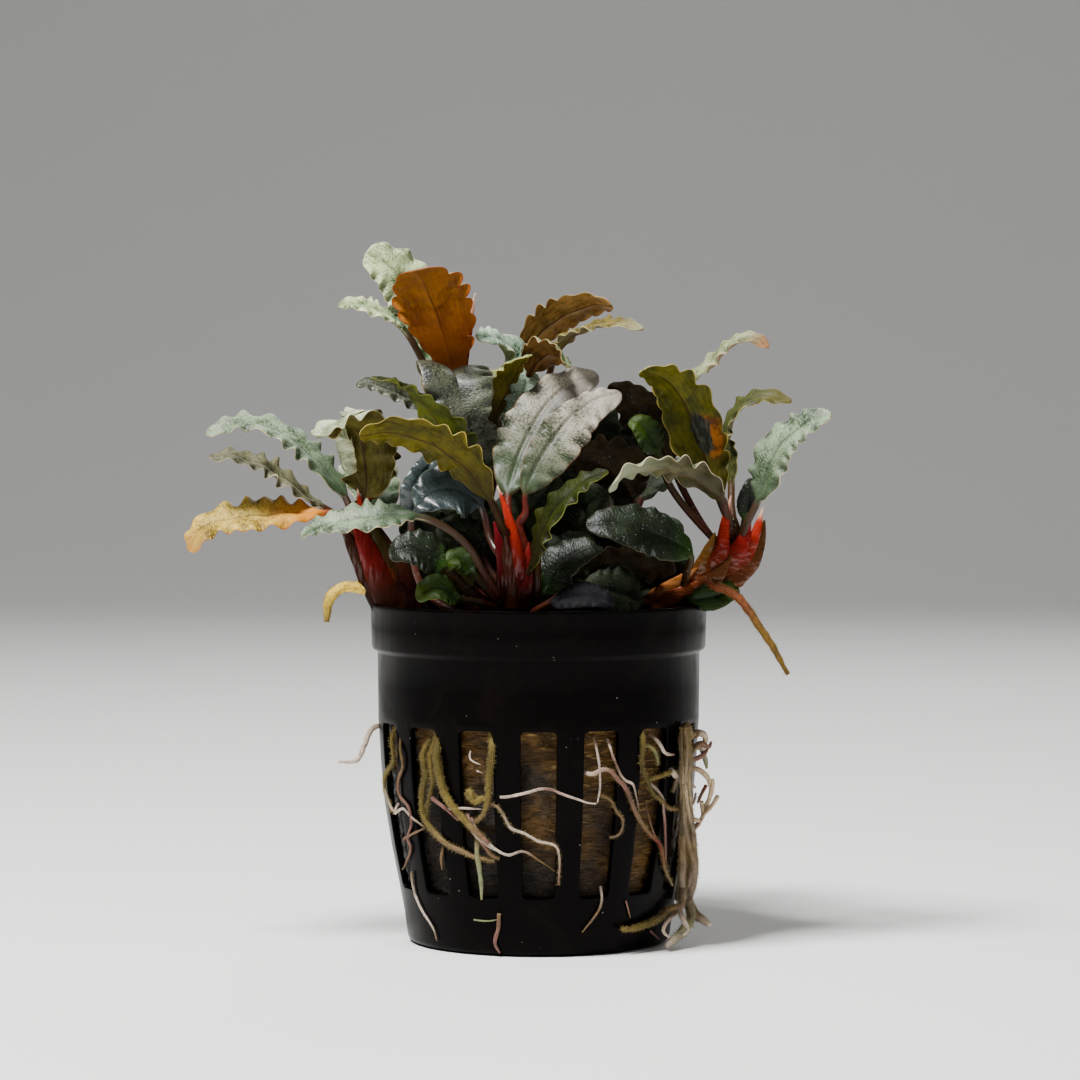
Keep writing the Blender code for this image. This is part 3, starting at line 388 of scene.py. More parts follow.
def blade_look(top, under, margin, stalk, **more):
    """Colours of a blade: the upper side's dark and light ones, the underside's, the margin's, the stalk's.
    Then tints of its heel and tip, as colour, share and how far they reach, the strength of the painted shade
    in the margin's troughs, of lengthwise streaks, of fine cross wrinkles (a bump, with painted shade in their
    hollows), of side veins and of the painted glints of beads of water, a scar as its place and size across
    and along, the midrib's colour below, the skin's roughness, gloss and wet coat, the width of the groove
    above, and the stretch across it that gets a painted shadow, with its strength."""
    look = {"top": top, "under": under, "margin": margin, "stalk": stalk, "heel": None, "tip": None}
    look.update({"blotch": 0.35, "streak": 0.3, "wrinkle": 0.4, "veins": 0.3, "drops": 0.0, "scar": None})
    look.update({"rib": (0.085, 0.022, 0.006), "roughness": 0.45, "gloss": 0.25, "coat": 0.0})
    look.update({"groove": 0.30, "shadow": None})
    look["slot"] = "leaf_silver"
    look.update(more)
    return look


LOOKS = {
    "sage": blade_look(
        ((0.022, 0.042, 0.016), (0.235, 0.3, 0.185)), ((0.065, 0.062, 0.012), (0.2, 0.175, 0.045)),
        (0.56, 0.46, 0.26), (0.032, 0.013, 0.003), heel=((0.018, 0.038, 0.012), 0.9, 0.6), blotch=0.85,
        streak=0.15, wrinkle=0.45, veins=0.15, gloss=0.35),
    # arched: its dark heel is painted shade under the arch.
    "arched": blade_look(
        ((0.03, 0.055, 0.022), (0.265, 0.335, 0.21)), ((0.026, 0.025, 0.006), (0.12, 0.108, 0.042)),
        (0.7, 0.58, 0.36), (0.04, 0.013, 0.004), heel=((0.018, 0.014, 0.0015), 0.9, 0.75), blotch=0.8,
        streak=0.15, wrinkle=0.6, veins=0.15, gloss=0.3, tip=((0.28, 0.31, 0.19), 0.85, 0.45)),
    "dusty": blade_look(
        ((0.018, 0.022, 0.006), (0.125, 0.118, 0.06)), ((0.035, 0.03, 0.006), (0.16, 0.145, 0.07)),
        (0.56, 0.46, 0.28), (0.05, 0.016, 0.005), blotch=0.8, wrinkle=0.6, veins=0.15, gloss=0.3),
    "mint": blade_look(
        ((0.02, 0.05, 0.022), (0.36, 0.47, 0.34)), ((0.1, 0.12, 0.03), (0.25, 0.27, 0.09)),
        (0.5, 0.46, 0.25), (0.06, 0.04, 0.01), blotch=0.95, streak=0.15, wrinkle=0.4),
    "pale": blade_look(
        ((0.035, 0.075, 0.018), (0.5, 0.58, 0.3)), ((0.22, 0.15, 0.05), (0.42, 0.3, 0.12)),
        (0.74, 0.66, 0.42), (0.08, 0.035, 0.01), blotch=0.8, heel=((0.035, 0.09, 0.032), 0.8, 0.5)),
    "rosy": blade_look(
        ((0.065, 0.08, 0.024), (0.3, 0.32, 0.17)), ((0.08, 0.055, 0.015), (0.24, 0.16, 0.06)),
        (0.56, 0.32, 0.17), (0.09, 0.035, 0.01), blotch=0.7, wrinkle=0.5,
        tip=((0.26, 0.085, 0.03), 0.75, 0.76)),
    "moss": blade_look(
        ((0.008, 0.015, 0.003), (0.06, 0.066, 0.014)), ((0.024, 0.022, 0.002), (0.08, 0.068, 0.008)),
        (0.42, 0.36, 0.11), (0.05, 0.022, 0.005), blotch=0.9, streak=0.15,
        tip=((0.11, 0.085, 0.012), 0.6, 0.65)),
    "silver": blade_look(
        ((0.038, 0.044, 0.022), (0.43, 0.39, 0.3)), ((0.15, 0.07, 0.02), (0.3, 0.15, 0.05)),
        (0.16, 0.05, 0.018), (0.09, 0.012, 0.007), heel=((0.022, 0.042, 0.014), 0.95, 0.8),
        tip=((0.52, 0.46, 0.38), 0.5, 0.55), blotch=1.0, streak=0.0, wrinkle=0.5, veins=0.08,
        roughness=0.36, gloss=0.2, coat=0.04, groove=0.75),
    "steel": blade_look(
        ((0.003, 0.011, 0.01), (0.038, 0.056, 0.058)), ((0.03, 0.03, 0.01), (0.08, 0.07, 0.02)),
        (0.1, 0.12, 0.05), (0.06, 0.012, 0.004), streak=0.05, wrinkle=0.4, veins=0.1, roughness=0.3,
        gloss=0.5, coat=0.5, drops=0.6),
    "grey": blade_look(
        ((0.009, 0.012, 0.005), (0.082, 0.088, 0.054)), ((0.05, 0.04, 0.014), (0.12, 0.09, 0.03)),
        (0.15, 0.13, 0.06), (0.05, 0.018, 0.006), streak=0.0, wrinkle=0.9, veins=0.1, blotch=0.9,
        roughness=0.34, gloss=0.4, coat=0.12, drops=0.8),
    "violet": blade_look(
        ((0.002, 0.002, 0.002), (0.009, 0.008, 0.011)), ((0.03, 0.02, 0.01), (0.06, 0.04, 0.02)),
        (0.03, 0.025, 0.03), (0.04, 0.01, 0.004), streak=0.1, veins=0.1, roughness=0.6, gloss=0.08),
    "olive": blade_look(
        ((0.05, 0.085, 0.022), (0.26, 0.32, 0.15)), ((0.032, 0.028, 0.0004), (0.105, 0.084, 0.001)),
        (0.46, 0.34, 0.08), (0.03, 0.011, 0.002), slot="leaf_olive",
        heel=((0.02, 0.014, 0.001), 0.75, 0.45), rib=(0.03, 0.006, 0.001), gloss=0.15),
    "umber": blade_look(
        ((0.14, 0.18, 0.09), (0.5, 0.52, 0.34)), ((0.03, 0.025, 0.003), (0.1, 0.084, 0.014)),
        (0.46, 0.38, 0.18), (0.08, 0.01, 0.004), slot="leaf_olive", rib=(0.022, 0.007, 0.002), blotch=0.2,
        gloss=0.15),
    "rust": blade_look(
        ((0.1, 0.14, 0.05), (0.32, 0.38, 0.24)), ((0.115, 0.03, 0.0006), (0.27, 0.092, 0.002)),
        (0.3, 0.035, 0.006), (0.08, 0.016, 0.004), slot="leaf_orange",
        heel=((0.34, 0.078, 0.003), 0.85, 0.65), tip=((0.13, 0.048, 0.006), 0.6, 0.45),
        rib=(0.045, 0.005, 0.001), wrinkle=0.7, gloss=0.15),
    "tan": blade_look(
        ((0.17, 0.105, 0.012), (0.6, 0.42, 0.08)), ((0.24, 0.11, 0.01), (0.48, 0.26, 0.04)),
        (0.44, 0.16, 0.04), (0.22, 0.04, 0.005), slot="leaf_orange", heel=((0.5, 0.16, 0.004), 0.97, 0.5),
        tip=((0.44, 0.18, 0.04), 0.7, 0.8), blotch=0.6, streak=0.15, wrinkle=0.6, gloss=0.2),
    "bronze": blade_look(
        ((0.05, 0.038, 0.006), (0.18, 0.135, 0.03)), ((0.06, 0.04, 0.008), (0.17, 0.115, 0.025)),
        (0.46, 0.42, 0.18), (0.05, 0.02, 0.005), slot="leaf_olive", blotch=0.7, streak=0.15, gloss=0.2,
        tip=((0.27, 0.27, 0.16), 0.6, 0.75)),
    "brown": blade_look(
        ((0.045, 0.065, 0.018), (0.22, 0.26, 0.13)), ((0.125, 0.058, 0.01), (0.35, 0.185, 0.045)),
        (0.44, 0.3, 0.12), (0.05, 0.022, 0.005), slot="leaf_olive", rib=(0.034, 0.009, 0.002), wrinkle=0.7,
        gloss=0.15),
    # lime: its dark heel is painted shade over the blade's lower part, near the stalk.
    "lime": blade_look(
        ((0.004, 0.006, 0.0002), (0.021, 0.028, 0.0006)), ((0.03, 0.04, 0.001), (0.12, 0.14, 0.003)),
        (0.16, 0.17, 0.03), (0.026, 0.01, 0.002), slot="leaf_green", blotch=0.7, streak=0.1, gloss=0.15,
        heel=((0.007, 0.005, 0.0004), 0.85, 0.62)),
    "green": blade_look(
        ((0.002, 0.007, 0.0004), (0.014, 0.034, 0.0014)), ((0.008, 0.02, 0.001), (0.03, 0.07, 0.003)),
        (0.05, 0.08, 0.01), (0.02, 0.01, 0.002), slot="leaf_green", streak=0.1, gloss=0.2,
        tip=((0.036, 0.062, 0.002), 0.7, 0.4)),
    "dark": blade_look(
        ((0.003, 0.006, 0.002), (0.02, 0.027, 0.011)), ((0.008, 0.005, 0.0015), (0.028, 0.017, 0.005)),
        (0.04, 0.034, 0.015), (0.034, 0.008, 0.003), slot="leaf_dark", roughness=0.5, gloss=0.15,
        wrinkle=0.7, rib=(0.02, 0.005, 0.002), drops=0.4),
    # shade: the bright green of its heel is a painted glow of light shining through the leaf.
    "shade": blade_look(
        ((0.001, 0.002, 0.001), (0.012, 0.018, 0.008)), ((0.01, 0.008, 0.002), (0.04, 0.03, 0.008)),
        (0.04, 0.04, 0.015), (0.034, 0.014, 0.003), slot="leaf_dark", roughness=0.34, streak=0.0,
        wrinkle=1.0, veins=0.3, drops=1.0, gloss=0.25, heel=((0.014, 0.046, 0.001), 0.85, 0.3)),
}
LOOKS["russet"] = {**LOOKS["brown"], "under": ((0.060, 0.026, 0.004), (0.17, 0.080, 0.016))}
LOOKS["shaded"] = {**LOOKS["silver"], "shadow": (-0.25, 0.30, 0.80)}
LOOKS["scarred"] = {**LOOKS["olive"], "scar": (-0.20, 0.40, 0.40, 0.150)}
LOOKS["scarred"]["under"] = ((0.028, 0.030, 0.0006), (0.095, 0.085, 0.0016))
LOOKS["scarred"]["heel"] = None

# Colours of the roots' stretches
ROOT_TINTS = {
    "orange": (0.19, 0.048, 0.01), "gold": (0.165, 0.085, 0.007), "olive": (0.08, 0.058, 0.006),
    "yellow": (0.165, 0.118, 0.02), "green": (0.22, 0.24, 0.11), "lemon": (0.95, 0.64, 0.085),
    "tan": (0.17, 0.105, 0.046), "grey": (0.22, 0.165, 0.112), "pink": (0.21, 0.1, 0.075),
    "red": (0.14, 0.016, 0.007), "white": (0.62, 0.49, 0.39), "cream": (0.6, 0.45, 0.28),
}

# Roots: colours from end to end, radius and route. A route on the pot's wall is pairs, degrees from the front
# and height, and one in the open is points
ROOTS = {
    "root_front_thick": [
        ("yellow olive yellow tan tan", 0.42, [(-43.2, 31.3), (-44.1, 28.8), (-42.6, 26.2), (-45.1, 23.7),
         (-45.1, 19.7), (-40.9, 17.8), (-35.8, 16.3), (-29.5, 15.3), (-24.2, 14.7), (-16.4, 14.1)]),
        ("yellow olive", 0.32, [(-40, 32.1), (-40.8, 28.9), (-39.9, 25.4), (-42.3, 22.6), (-44.1, 19.4)]),
    ],
    "root_front_branching": [
        ("olive olive yellow yellow pink", 0.58, [(-39.5, 32.7), (-37.1, 29.0), (-35.9, 25.5),
         (-33.2, 22.7), (-29.3, 21.0), (-24.8, 19.2), (-20.1, 17.4), (-18.2, 16.6)]),
        ("pink white white tan olive", 0.21, [(-26.8, 20.1), (-22.5, 18.4), (-16.2, 15.9), (-11.7, 15.1),
         (-5.8, 15.6), (0.4, 14.3), (6.1, 12.7)]),
        ("yellow pink tan", 0.3, [(-25.2, 19), (-21, 16.8), (-17.6, 15.1), (-14.6, 14.5)]),
        ("pink white", 0.3, [(-28.1, 20.6), (-23.9, 18.2), (-19.5, 16.5), (-15.4, 15.7)]),
        ("pink pink", 0.32, [(-44.2, 23.2), (-40.3, 22.8), (-34.2, 21.3), (-29.9, 19.9)]),
        ("white white", 0.2, [(-34.2, 21.4), (-27.6, 21.6), (-20.6, 21.7)]),
    ],
    "root_front_right": [
        ("white pink pink tan red tan grey", 0.32, [(16.4, 27.0), (19.3, 26.7), (21.9, 27.3), (25.3, 27.1),
         (28.9, 25.7), (32.4, 24.2), (35.2, 22.0), (38.9, 19.7), (44.7, 17.5), (51.4, 15.7), (54.9, 13.5),
         (57.5, 11.9), (67.8, 9.0)]),
    ],
    "root_right_bundle": [
        ("grey tan olive yellow", 0.58, [(21.2, -6, 8.3), (20.8, -7.3, 6.1), (18.9, -9.7, 5.5),
         (17.4, -11.9, 4.6), (15.2, -14.3, 4.0), (13, -16.2, 3.7), (12, -17.2, 3.8)]),
        ("grey green white", 0.7, [(22.0, -5.5, 6.4), (22.4, -6.5, 4.3), (21.3, -9, 2.7),
         (19.7, -11.5, 1.6), (18.6, -13.4, 0.9)]),
        ("grey tan white", 0.75, [(21.7, -5, 7.4), (22.8, -5, 4.5), (24.0, -5.6, 3.7), (25.2, -6.4, 2.9)]),
        ("grey white white", 0.4,
         [(20.3, -8, 5.9), (21.1, -9.5, 4.1), (21.7, -9.5, 2.6), (20.6, -10.5, 1.9)]),
        ("tan white", 0.3, [(20.0, -9.5, 5.1), (18.6, -12, 4.1), (18.1, -13, 3.0), (19.0, -12.5, 1.9)]),
        ("tan tan grey", 0.7, [(60.5, 32.8), (62.6, 31.4), (60.7, 30.2), (61, 27)]),
    ],
    "root_over_rim_left": [
        ("gold lemon lemon lemon yellow", 0.85, [(-22.5, -4.2, 51.6), (-25, -4.8, 52.2),
         (-28.5, -5.5, 52.6), (-30.5, -6, 51), (-31, -6, 47.5)]),
    ],
    "root_over_rim_right": [
        ("red orange orange gold gold gold", 0.62, [(24.6, -6.8, 53.6), (25.6, -8.2, 52.9),
         (28.2, -9.3, 51.9), (30.2, -10.3, 49.8), (32.8, -11, 46), (36.2, -11.5, 40.2)]),
    ],
    "root_side_left": [
        ("tan white white white", 0.4,
         [(-22.8, -2, 32), (-24.6, -2, 31.5), (-25.7, -2, 29), (-26.8, -2, 26.8), (-29.5, -2, 26.6)]),
    ],
}
TRUNK_ROUTE = [(58, 32.5), (59.5, 27), (61, 22), (65, 17), (74, 11.5), (79, 6.5)]
TRUNK_RADII = [0.7, 0.75, 0.85, 1.1, 1.35, 1.1]
TRUNK_STRANDS = 9
SEED_STEP = 7  # between the seeds of two roots' unevenness
STRAND_RADII = [0.16, 0.22, 0.28, 0.42, 0.58, 0.50]
STRAND_TINTS = "tan grey cream grey tan grey grey"
DOWNY_TINTS = ("yellow", "grey", "gold")
ROOTLETS = [
    ("olive yellow yellow white", 0.32, [(-62.5, 33), (-62.4, 31), (-61.9, 28), (-70.8, 25.3),
     (-74.6, 23.7), (-71.7, 21.7), (-65.6, 19.8)]),
    ("olive tan pink pink tan", 0.24, [(-61.5, 32.5), (-57, 29.7), (-55.7, 27.1), (-59.9, 24.8),
     (-59.9, 22.5), (-54.8, 21.2), (-53.4, 18.9), (-58.1, 16.3), (-56.9, 15), (-67.6, 11.3)]),
    ("white white tan", 0.22, [(-72.3, 20.8), (-65.6, 19.8), (-58.3, 20.7), (-53.6, 19.7), (-45.7, 18.3)]),
    ("pink tan", 0.22, [(-72.5, 15.5), (-56.2, 16.9), (-45.7, 18.3)]),
    ("tan white white tan", 0.2, [(-59.2, 11.4), (-59.9, 7.9), (-54.8, 5.3), (-50.3, 3.5), (-48.2, 1.6)]),
    ("tan green green", 0.36, [(-24.3, 18.2), (-23.1, 16), (-22.9, 13.2), (-22.5, 11.2), (-22.7, 8.4)]),
    ("tan tan", 0.25, [(-38.7, 17.2), (-39.3, 14.4), (-39.7, 12.4)]),
    ("yellow yellow yellow", 0.5,
     [(-26.3, 22.9), (-24.6, 24.1), (-22.8, 22.7), (-19.8, 23.3), (-18, 22.7)]),
    ("yellow tan white white pink", 0.21, [(-26.3, 22.9), (-23.5, 23.7), (-20.5, 23), (-17.2, 22.6),
     (-14, 21.9), (-11.9, 20.4), (-10.2, 19.1), (-5.6, 18.4), (0.4, 17.1), (5.9, 16.5), (7.4, 15.6),
     (7.7, 10.8)]),
    ("yellow olive yellow tan", 0.44,
     [(-17.5, 33), (-16.1, 29.3), (-17, 26.2), (-17.9, 23.3), (-19.9, 20.8), (-23.1, 19.8)]),
    ("white white", 0.13, [(-26, 29.8), (-23.9, 28.7), (-20.2, 28)]),
    ("white tan", 0.13, [(-23.6, 26.9), (-19.5, 26.9)]),
    ("white white pink white white", 0.21, [(-13.6, 23.5), (-7.2, 23.8), (0.4, 24.7), (4.2, 24.7),
     (7.7, 24), (14.1, 23.1), (17.4, 22.6), (20.7, 22.4)]),
    ("tan pink pink", 0.3, [(-15.9, 6.4), (-16.6, 4.3), (-18.2, 2.1), (-16.4, 0.6)]),
    ("green green", 0.13, [(-27.3, 5.3), (-22, 5.2), (-16.9, 5.5)]),
    ("tan white white", 0.2, [(20.4, 32.1), (21, 29.1), (21.6, 26.4), (21.7, 24.1), (21.1, 22.5)]),
    ("white pink white tan", 0.21,
     [(26, 31.5), (25.4, 30.2), (27.9, 27.9), (31.4, 25.7), (34.8, 25), (36.8, 23.1), (38.5, 21)]),
    ("tan tan grey", 0.2, [(22.9, 23.5), (26, 22.9), (28.6, 21.3), (31.8, 19.6), (31, 17.9), (27, 17.4)]),
    ("yellow olive olive tan yellow white", 0.3, [(40.8, 33.2), (38.5, 31.5), (38.5, 29.7), (38.4, 27.6),
     (41.5, 25.4), (44.8, 23.3), (49.9, 22.1), (53.8, 21.1), (62.6, 20.5), (74.5, 20.6), (85, 21.9)]),
    ("yellow green", 0.28, [(38.8, 30.7), (43.6, 29.8), (46.1, 27.4)]),
    ("yellow yellow", 0.34, [(41.6, 25.1), (46.4, 25.7), (53.6, 26.3)]),
    ("tan white tan", 0.3, [(45.2, 31.9), (46.5, 30.5), (49.5, 29.2), (55.5, 28.7)]),
    ("white pink pink", 0.22, [(47.2, 24.7), (49.8, 22.7), (51.6, 20.3), (54.3, 17.2), (58.3, 12.8)]),
    ("tan pink", 0.16, [(45, 22.3), (45.1, 18.9), (49.8, 16.4)]),
    ("tan tan", 0.14, [(39.3, 27.3), (38.1, 23.3)]),
    ("white tan tan", 0.2, [(26.7, 10.1), (25.6, 7.6), (21.7, 5.2), (18.2, 3.6)]),
    ("pink tan", 0.16, [(37.2, 7.9), (40.8, 5.2)]),
    ("pink pink", 0.16, [(54.6, 2.8), (63.9, 1.1)]),
    ("tan grey grey", 0.35, [(61.5, 32.3), (59.2, 30.1), (61.5, 27.8), (59.1, 26), (55.8, 23.2)]),
    ("tan white", 0.55, [(22.8, -9, 31.2), (23.6, -8, 31.4), (24.2, -7, 30.9), (24.6, -7, 30.2)]),
    ("white green", 0.4, [(23.8, -7.5, 29.2), (24.4, -7, 27.4), (24.6, -7, 26)]),
    ("tan cream cream", 0.42, [(21.7, -9, 26.4), (23.2, -8, 26), (24.7, -7.5, 24.7), (25, -7, 23.5)]),
    ("cream cream tan", 0.38,
     [(25.4, -7, 24.5), (25.3, -7, 22.6), (24.7, -6.5, 20.6), (23.8, -7, 18.5), (22, -9, 17.3)]),
    ("cream cream", 0.32, [(26.2, -6, 21.9), (25.2, -7, 20.4), (23.8, -8, 19)]),
    ("red tan", 0.3, [(24.5, -8, 23.7), (23.8, -8.5, 22.5), (23.2, -8.5, 21.1)]),
    ("white tan", 0.24, [(21.7, -10, 24.4), (22.9, -9, 23.4)]),
    ("tan cream tan", 0.36, [(20.9, -11, 19.4), (22.3, -9.5, 18.9), (23.5, -8, 18.3), (22.3, -9, 17)]),
    ("cream tan", 0.32, [(23.8, -8, 21.4), (24, -7.5, 19)]),
    ("white grey", 0.42, [(19.1, -14, 26.5), (20.6, -11.5, 24.5), (21.2, -11, 23)]),
    ("tan cream tan", 0.46,
     [(22, -10, 30.9), (23.2, -8, 31.4), (24.4, -7, 30.6), (24.1, -7, 29.5), (22.7, -9, 29.3)]),
    ("tan pink", 0.42, [(22.3, -9, 28.8), (23.5, -8, 29.8), (24.9, -7, 29.2), (25.3, -6.5, 30)]),
    ("tan pink tan", 0.4, [(21.7, -10, 28.1), (22.7, -9, 27.6), (23.9, -8, 28.1), (24.9, -7, 29.3)]),
    ("grey tan", 0.35, [(21.3, -11, 30.4), (22.1, -10, 28.4), (22, -10, 26.5)]),
]


class LeafSettings(bpy.types.PropertyGroup):
    ripple: FloatProperty(
        name="Ripple", description="Height of the waves along a blade's margin",
        default=0.00058, min=0.0, unit="LENGTH")
    ripples: FloatProperty(
        name="Ripples", description="Waves along each margin of a blade", default=7.2, min=1.0)
    scallop: FloatProperty(
        name="Scallop", description="How far the margin's lobes stand out, as a share of the half width",
        default=0.055, min=0.0, max=0.4, subtype="FACTOR")
    thickness: FloatProperty(
        name="Blade thickness", description="Thickness of a blade between midrib and margin",
        default=0.00036, min=0.0001, unit="LENGTH")
    rib: FloatProperty(
        name="Midrib height", description="How far the midrib stands out of the underside",
        default=0.00032, min=0.0, unit="LENGTH")
    foot: FloatVectorProperty(
        name="Stalk's foot", description="Colour of a leaf's stalk where it leaves its crown",
        default=(0.055, 0.0035, 0.002), subtype="COLOR", min=0.0, max=1.0)


class CrownSettings(bpy.types.PropertyGroup):
    sheath: FloatProperty(
        name="Sheath width", description="Width of the leaf bases that wrap a crown",
        default=0.0040, min=0.0005, unit="LENGTH")
    deep: FloatVectorProperty(
        name="Deep red", description="Colour at the foot of a crown",
        default=(0.007, 0.0006, 0.0005), subtype="COLOR", min=0.0, max=1.0)
    bright: FloatVectorProperty(
        name="Bright red", description="Colour of the young leaf bases",
        default=(0.075, 0.0015, 0.0012), subtype="COLOR", min=0.0, max=1.0)
    tip: FloatVectorProperty(
        name="Tips", description="Colour of the spikes' tips",
        default=(0.85, 0.50, 0.32), subtype="COLOR", min=0.0, max=1.0)


class PotSettings(bpy.types.PropertyGroup):
    wall: FloatProperty(
        name="Wall", description="Thickness of the pot's wall and floor",
        default=WALL * MM, min=0.0002, unit="LENGTH")
    corner: FloatProperty(
        name="Slot corner", description="Radius of the slots' corners",
        default=0.0008, min=0.0, unit="LENGTH")
    colour: FloatVectorProperty(
        name="Plastic", description="Colour of the pot",
        default=(0.0012, 0.0008, 0.0007), subtype="COLOR", min=0.0, max=1.0)


class WoolSettings(bpy.types.PropertyGroup):
    fibres: IntProperty(name="Fibres", description="Loose fibres on the plug", default=1800, min=0)
    fibre_width: FloatProperty(
        name="Fibre width", description="Thickness of a fibre",
        default=0.00007, min=0.00001, unit="LENGTH")
    light: FloatVectorProperty(
        name="Wool", description="Colour of the damp mineral wool",
        default=(0.098, 0.046, 0.005), subtype="COLOR", min=0.0, max=1.0)
    wet: FloatVectorProperty(
        name="Wet wool", description="Colour of the wet mineral wool",
        default=(0.012, 0.006, 0.0015), subtype="COLOR", min=0.0, max=1.0)


class RootSettings(bpy.types.PropertyGroup):
    hairs: IntProperty(name="Root hairs", description="Fine hairs on the thick roots", default=23000, min=0)
    down: FloatVectorProperty(
        name="Down", description="Colour of the root hairs",
        default=(0.36, 0.27, 0.10), subtype="COLOR", min=0.0, max=1.0)


class StageSettings(bpy.types.PropertyGroup):
    floor: FloatVectorProperty(
        name="Floor", description="Colour of the floor and backdrop",
        default=(0.90, 0.89, 0.87), subtype="COLOR", min=0.0, max=1.0)
    distance: FloatProperty(
        name="Camera distance", description="From the pot's axis to the camera", default=0.568, unit="LENGTH")
    height: FloatProperty(
        name="Camera height", description="Height of the camera over the floor", default=0.080, unit="LENGTH")
    tilt: FloatProperty(
        name="Camera tilt", description="How far the camera looks down",
        default=math.radians(2.09), subtype="ANGLE")
    field: FloatProperty(
        name="Field of view", description="Angle that the picture spans",
        default=math.radians(16.0), subtype="ANGLE")
    key: FloatProperty(
        name="Key light", description="Power of the light above on the left",
        default=12.5, min=0.0, subtype="POWER")
    fill: FloatProperty(
        name="Fill light", description="Power of the light from the right",
        default=0.9, min=0.0, subtype="POWER")
    sky: FloatProperty(
        name="Room light", description="Strength of the light all round", default=0.11, min=0.0)


class Wire:
    """An output socket that takes part in sums: each operator adds one Math node to its material."""

    def __init__(self, shading, socket):
        self.shading = shading
        self.socket = socket

    def maths(self, operation, *values):
        return self.shading.node("Math", {"operation": operation}, values)

    def __add__(self, other):
        return self.maths("ADD", self, other)

    def __sub__(self, other):
        return self.maths("SUBTRACT", self, other)

    def __rsub__(self, other):
        return self.maths("SUBTRACT", other, self)

    def __mul__(self, other):
        return self.maths("MULTIPLY", self, other)

    def __truediv__(self, other):
        return self.maths("DIVIDE", self, other)

    def __pow__(self, other):
        return self.maths("POWER", self, other)

    def __abs__(self):
        return self.maths("ABSOLUTE", self)

    __radd__ = __add__
    __rmul__ = __mul__


class Shading:
    """A material's node tree."""

    def __init__(self, name):
        self.material = bpy.data.materials.new(name)
        self.material.use_nodes = True
        self.tree = self.material.node_tree
        self.surface = self.tree.nodes["Principled BSDF"]

    def node(self, kind, settings=None, values=(), output=0):
        """Adds a node, with its settings set first, and returns one of its outputs. The values are in the
        sockets' order, or in a dict by their names or numbers."""
        made = self.tree.nodes.new("ShaderNode" + kind)
        for key, setting in (settings or {}).items():
            setattr(made, key, setting)
        for key, value in values.items() if isinstance(values, dict) else enumerate(values):
            self.feed(made.inputs[key], value)
        return Wire(self, made.outputs[output])

    def feed(self, entry, value):
        """Links a wire to the socket, and sets anything else as its value."""
        if isinstance(value, Wire):
            self.tree.links.new(value.socket, entry)
        else:
            entry.default_value = value

    def attribute(self, name):
        """A vector attribute of the mesh."""
        return self.node("Attribute", {"attribute_name": name}, output=1)

    def numbers(self, name):
        """The three numbers of a vector attribute of the mesh."""
        vector = self.attribute(name)
        return [self.node("SeparateXYZ", values=[vector], output=i) for i in range(3)]

    def vector(self, x, y, z):
        return self.node("CombineXYZ", values=[x, y, z])

    def place(self):
        """The point on the surface, in millimetres."""
        here = self.node("TexCoord", output=3)
        return self.node("VectorMath", {"operation": "SCALE"}, {0: here, 3: 1 / MM})

    def stretched(self, where, x, y, z):
        """The point with its three coordinates scaled."""
        return self.node("Mapping", values={0: where, 3: (x, y, z)})

    def noise(self, where, scale, detail=2.0, roughness=0.5, distortion=0.0):
        values = {"Vector": where, "Scale": scale, "Detail": detail, "Roughness": roughness}
        return self.node("TexNoise", values={**values, "Distortion": distortion})

    def cells(self, where, scale):
        return self.node("TexVoronoi", values={"Vector": where, "Scale": scale})

    def step(self, value, low, high):
        """0 below low, 1 above high, and smooth between them."""
        settings = {"interpolation_type": "SMOOTHSTEP", "clamp": True}
        return self.node("MapRange", settings, {0: value, 1: low, 2: high, 3: 0.0, 4: 1.0})

    def blend(self, share, first, second):
        """The first colour where share is 0 and the second where it is 1."""
        sides = [side if isinstance(side, Wire) else (*side, 1.0) for side in (first, second)]
        return self.node("Mix", {"data_type": "RGBA"}, {0: share, 6: sides[0], 7: sides[1]}, 2)

    def shade(self, share, colour, factor):
        """The colour times the factor where share is 1."""
        settings = {"data_type": "RGBA", "blend_type": "MULTIPLY"}
        return self.node("Mix", settings, {0: share, 6: colour, 7: (factor, factor, factor, 1.0)}, 2)

    def finish(self, colour, roughness, height, bump=1.0, **more):
        """Feeds colour, roughness, a height in millimetres and the other inputs, and returns the material."""
        normal = self.node("Bump", values={"Strength": bump, "Distance": MM, "Height": height})
        for name, value in {"Base Color": colour, "Roughness": roughness, "Normal": normal, **more}.items():
            self.feed(self.surface.inputs[name.replace("_", " ")], value)
        return self.material


def unit(vectors):
    """Vectors scaled to length one."""
    return vectors / np.maximum(np.linalg.norm(vectors, axis=-1, keepdims=True), 1e-9)


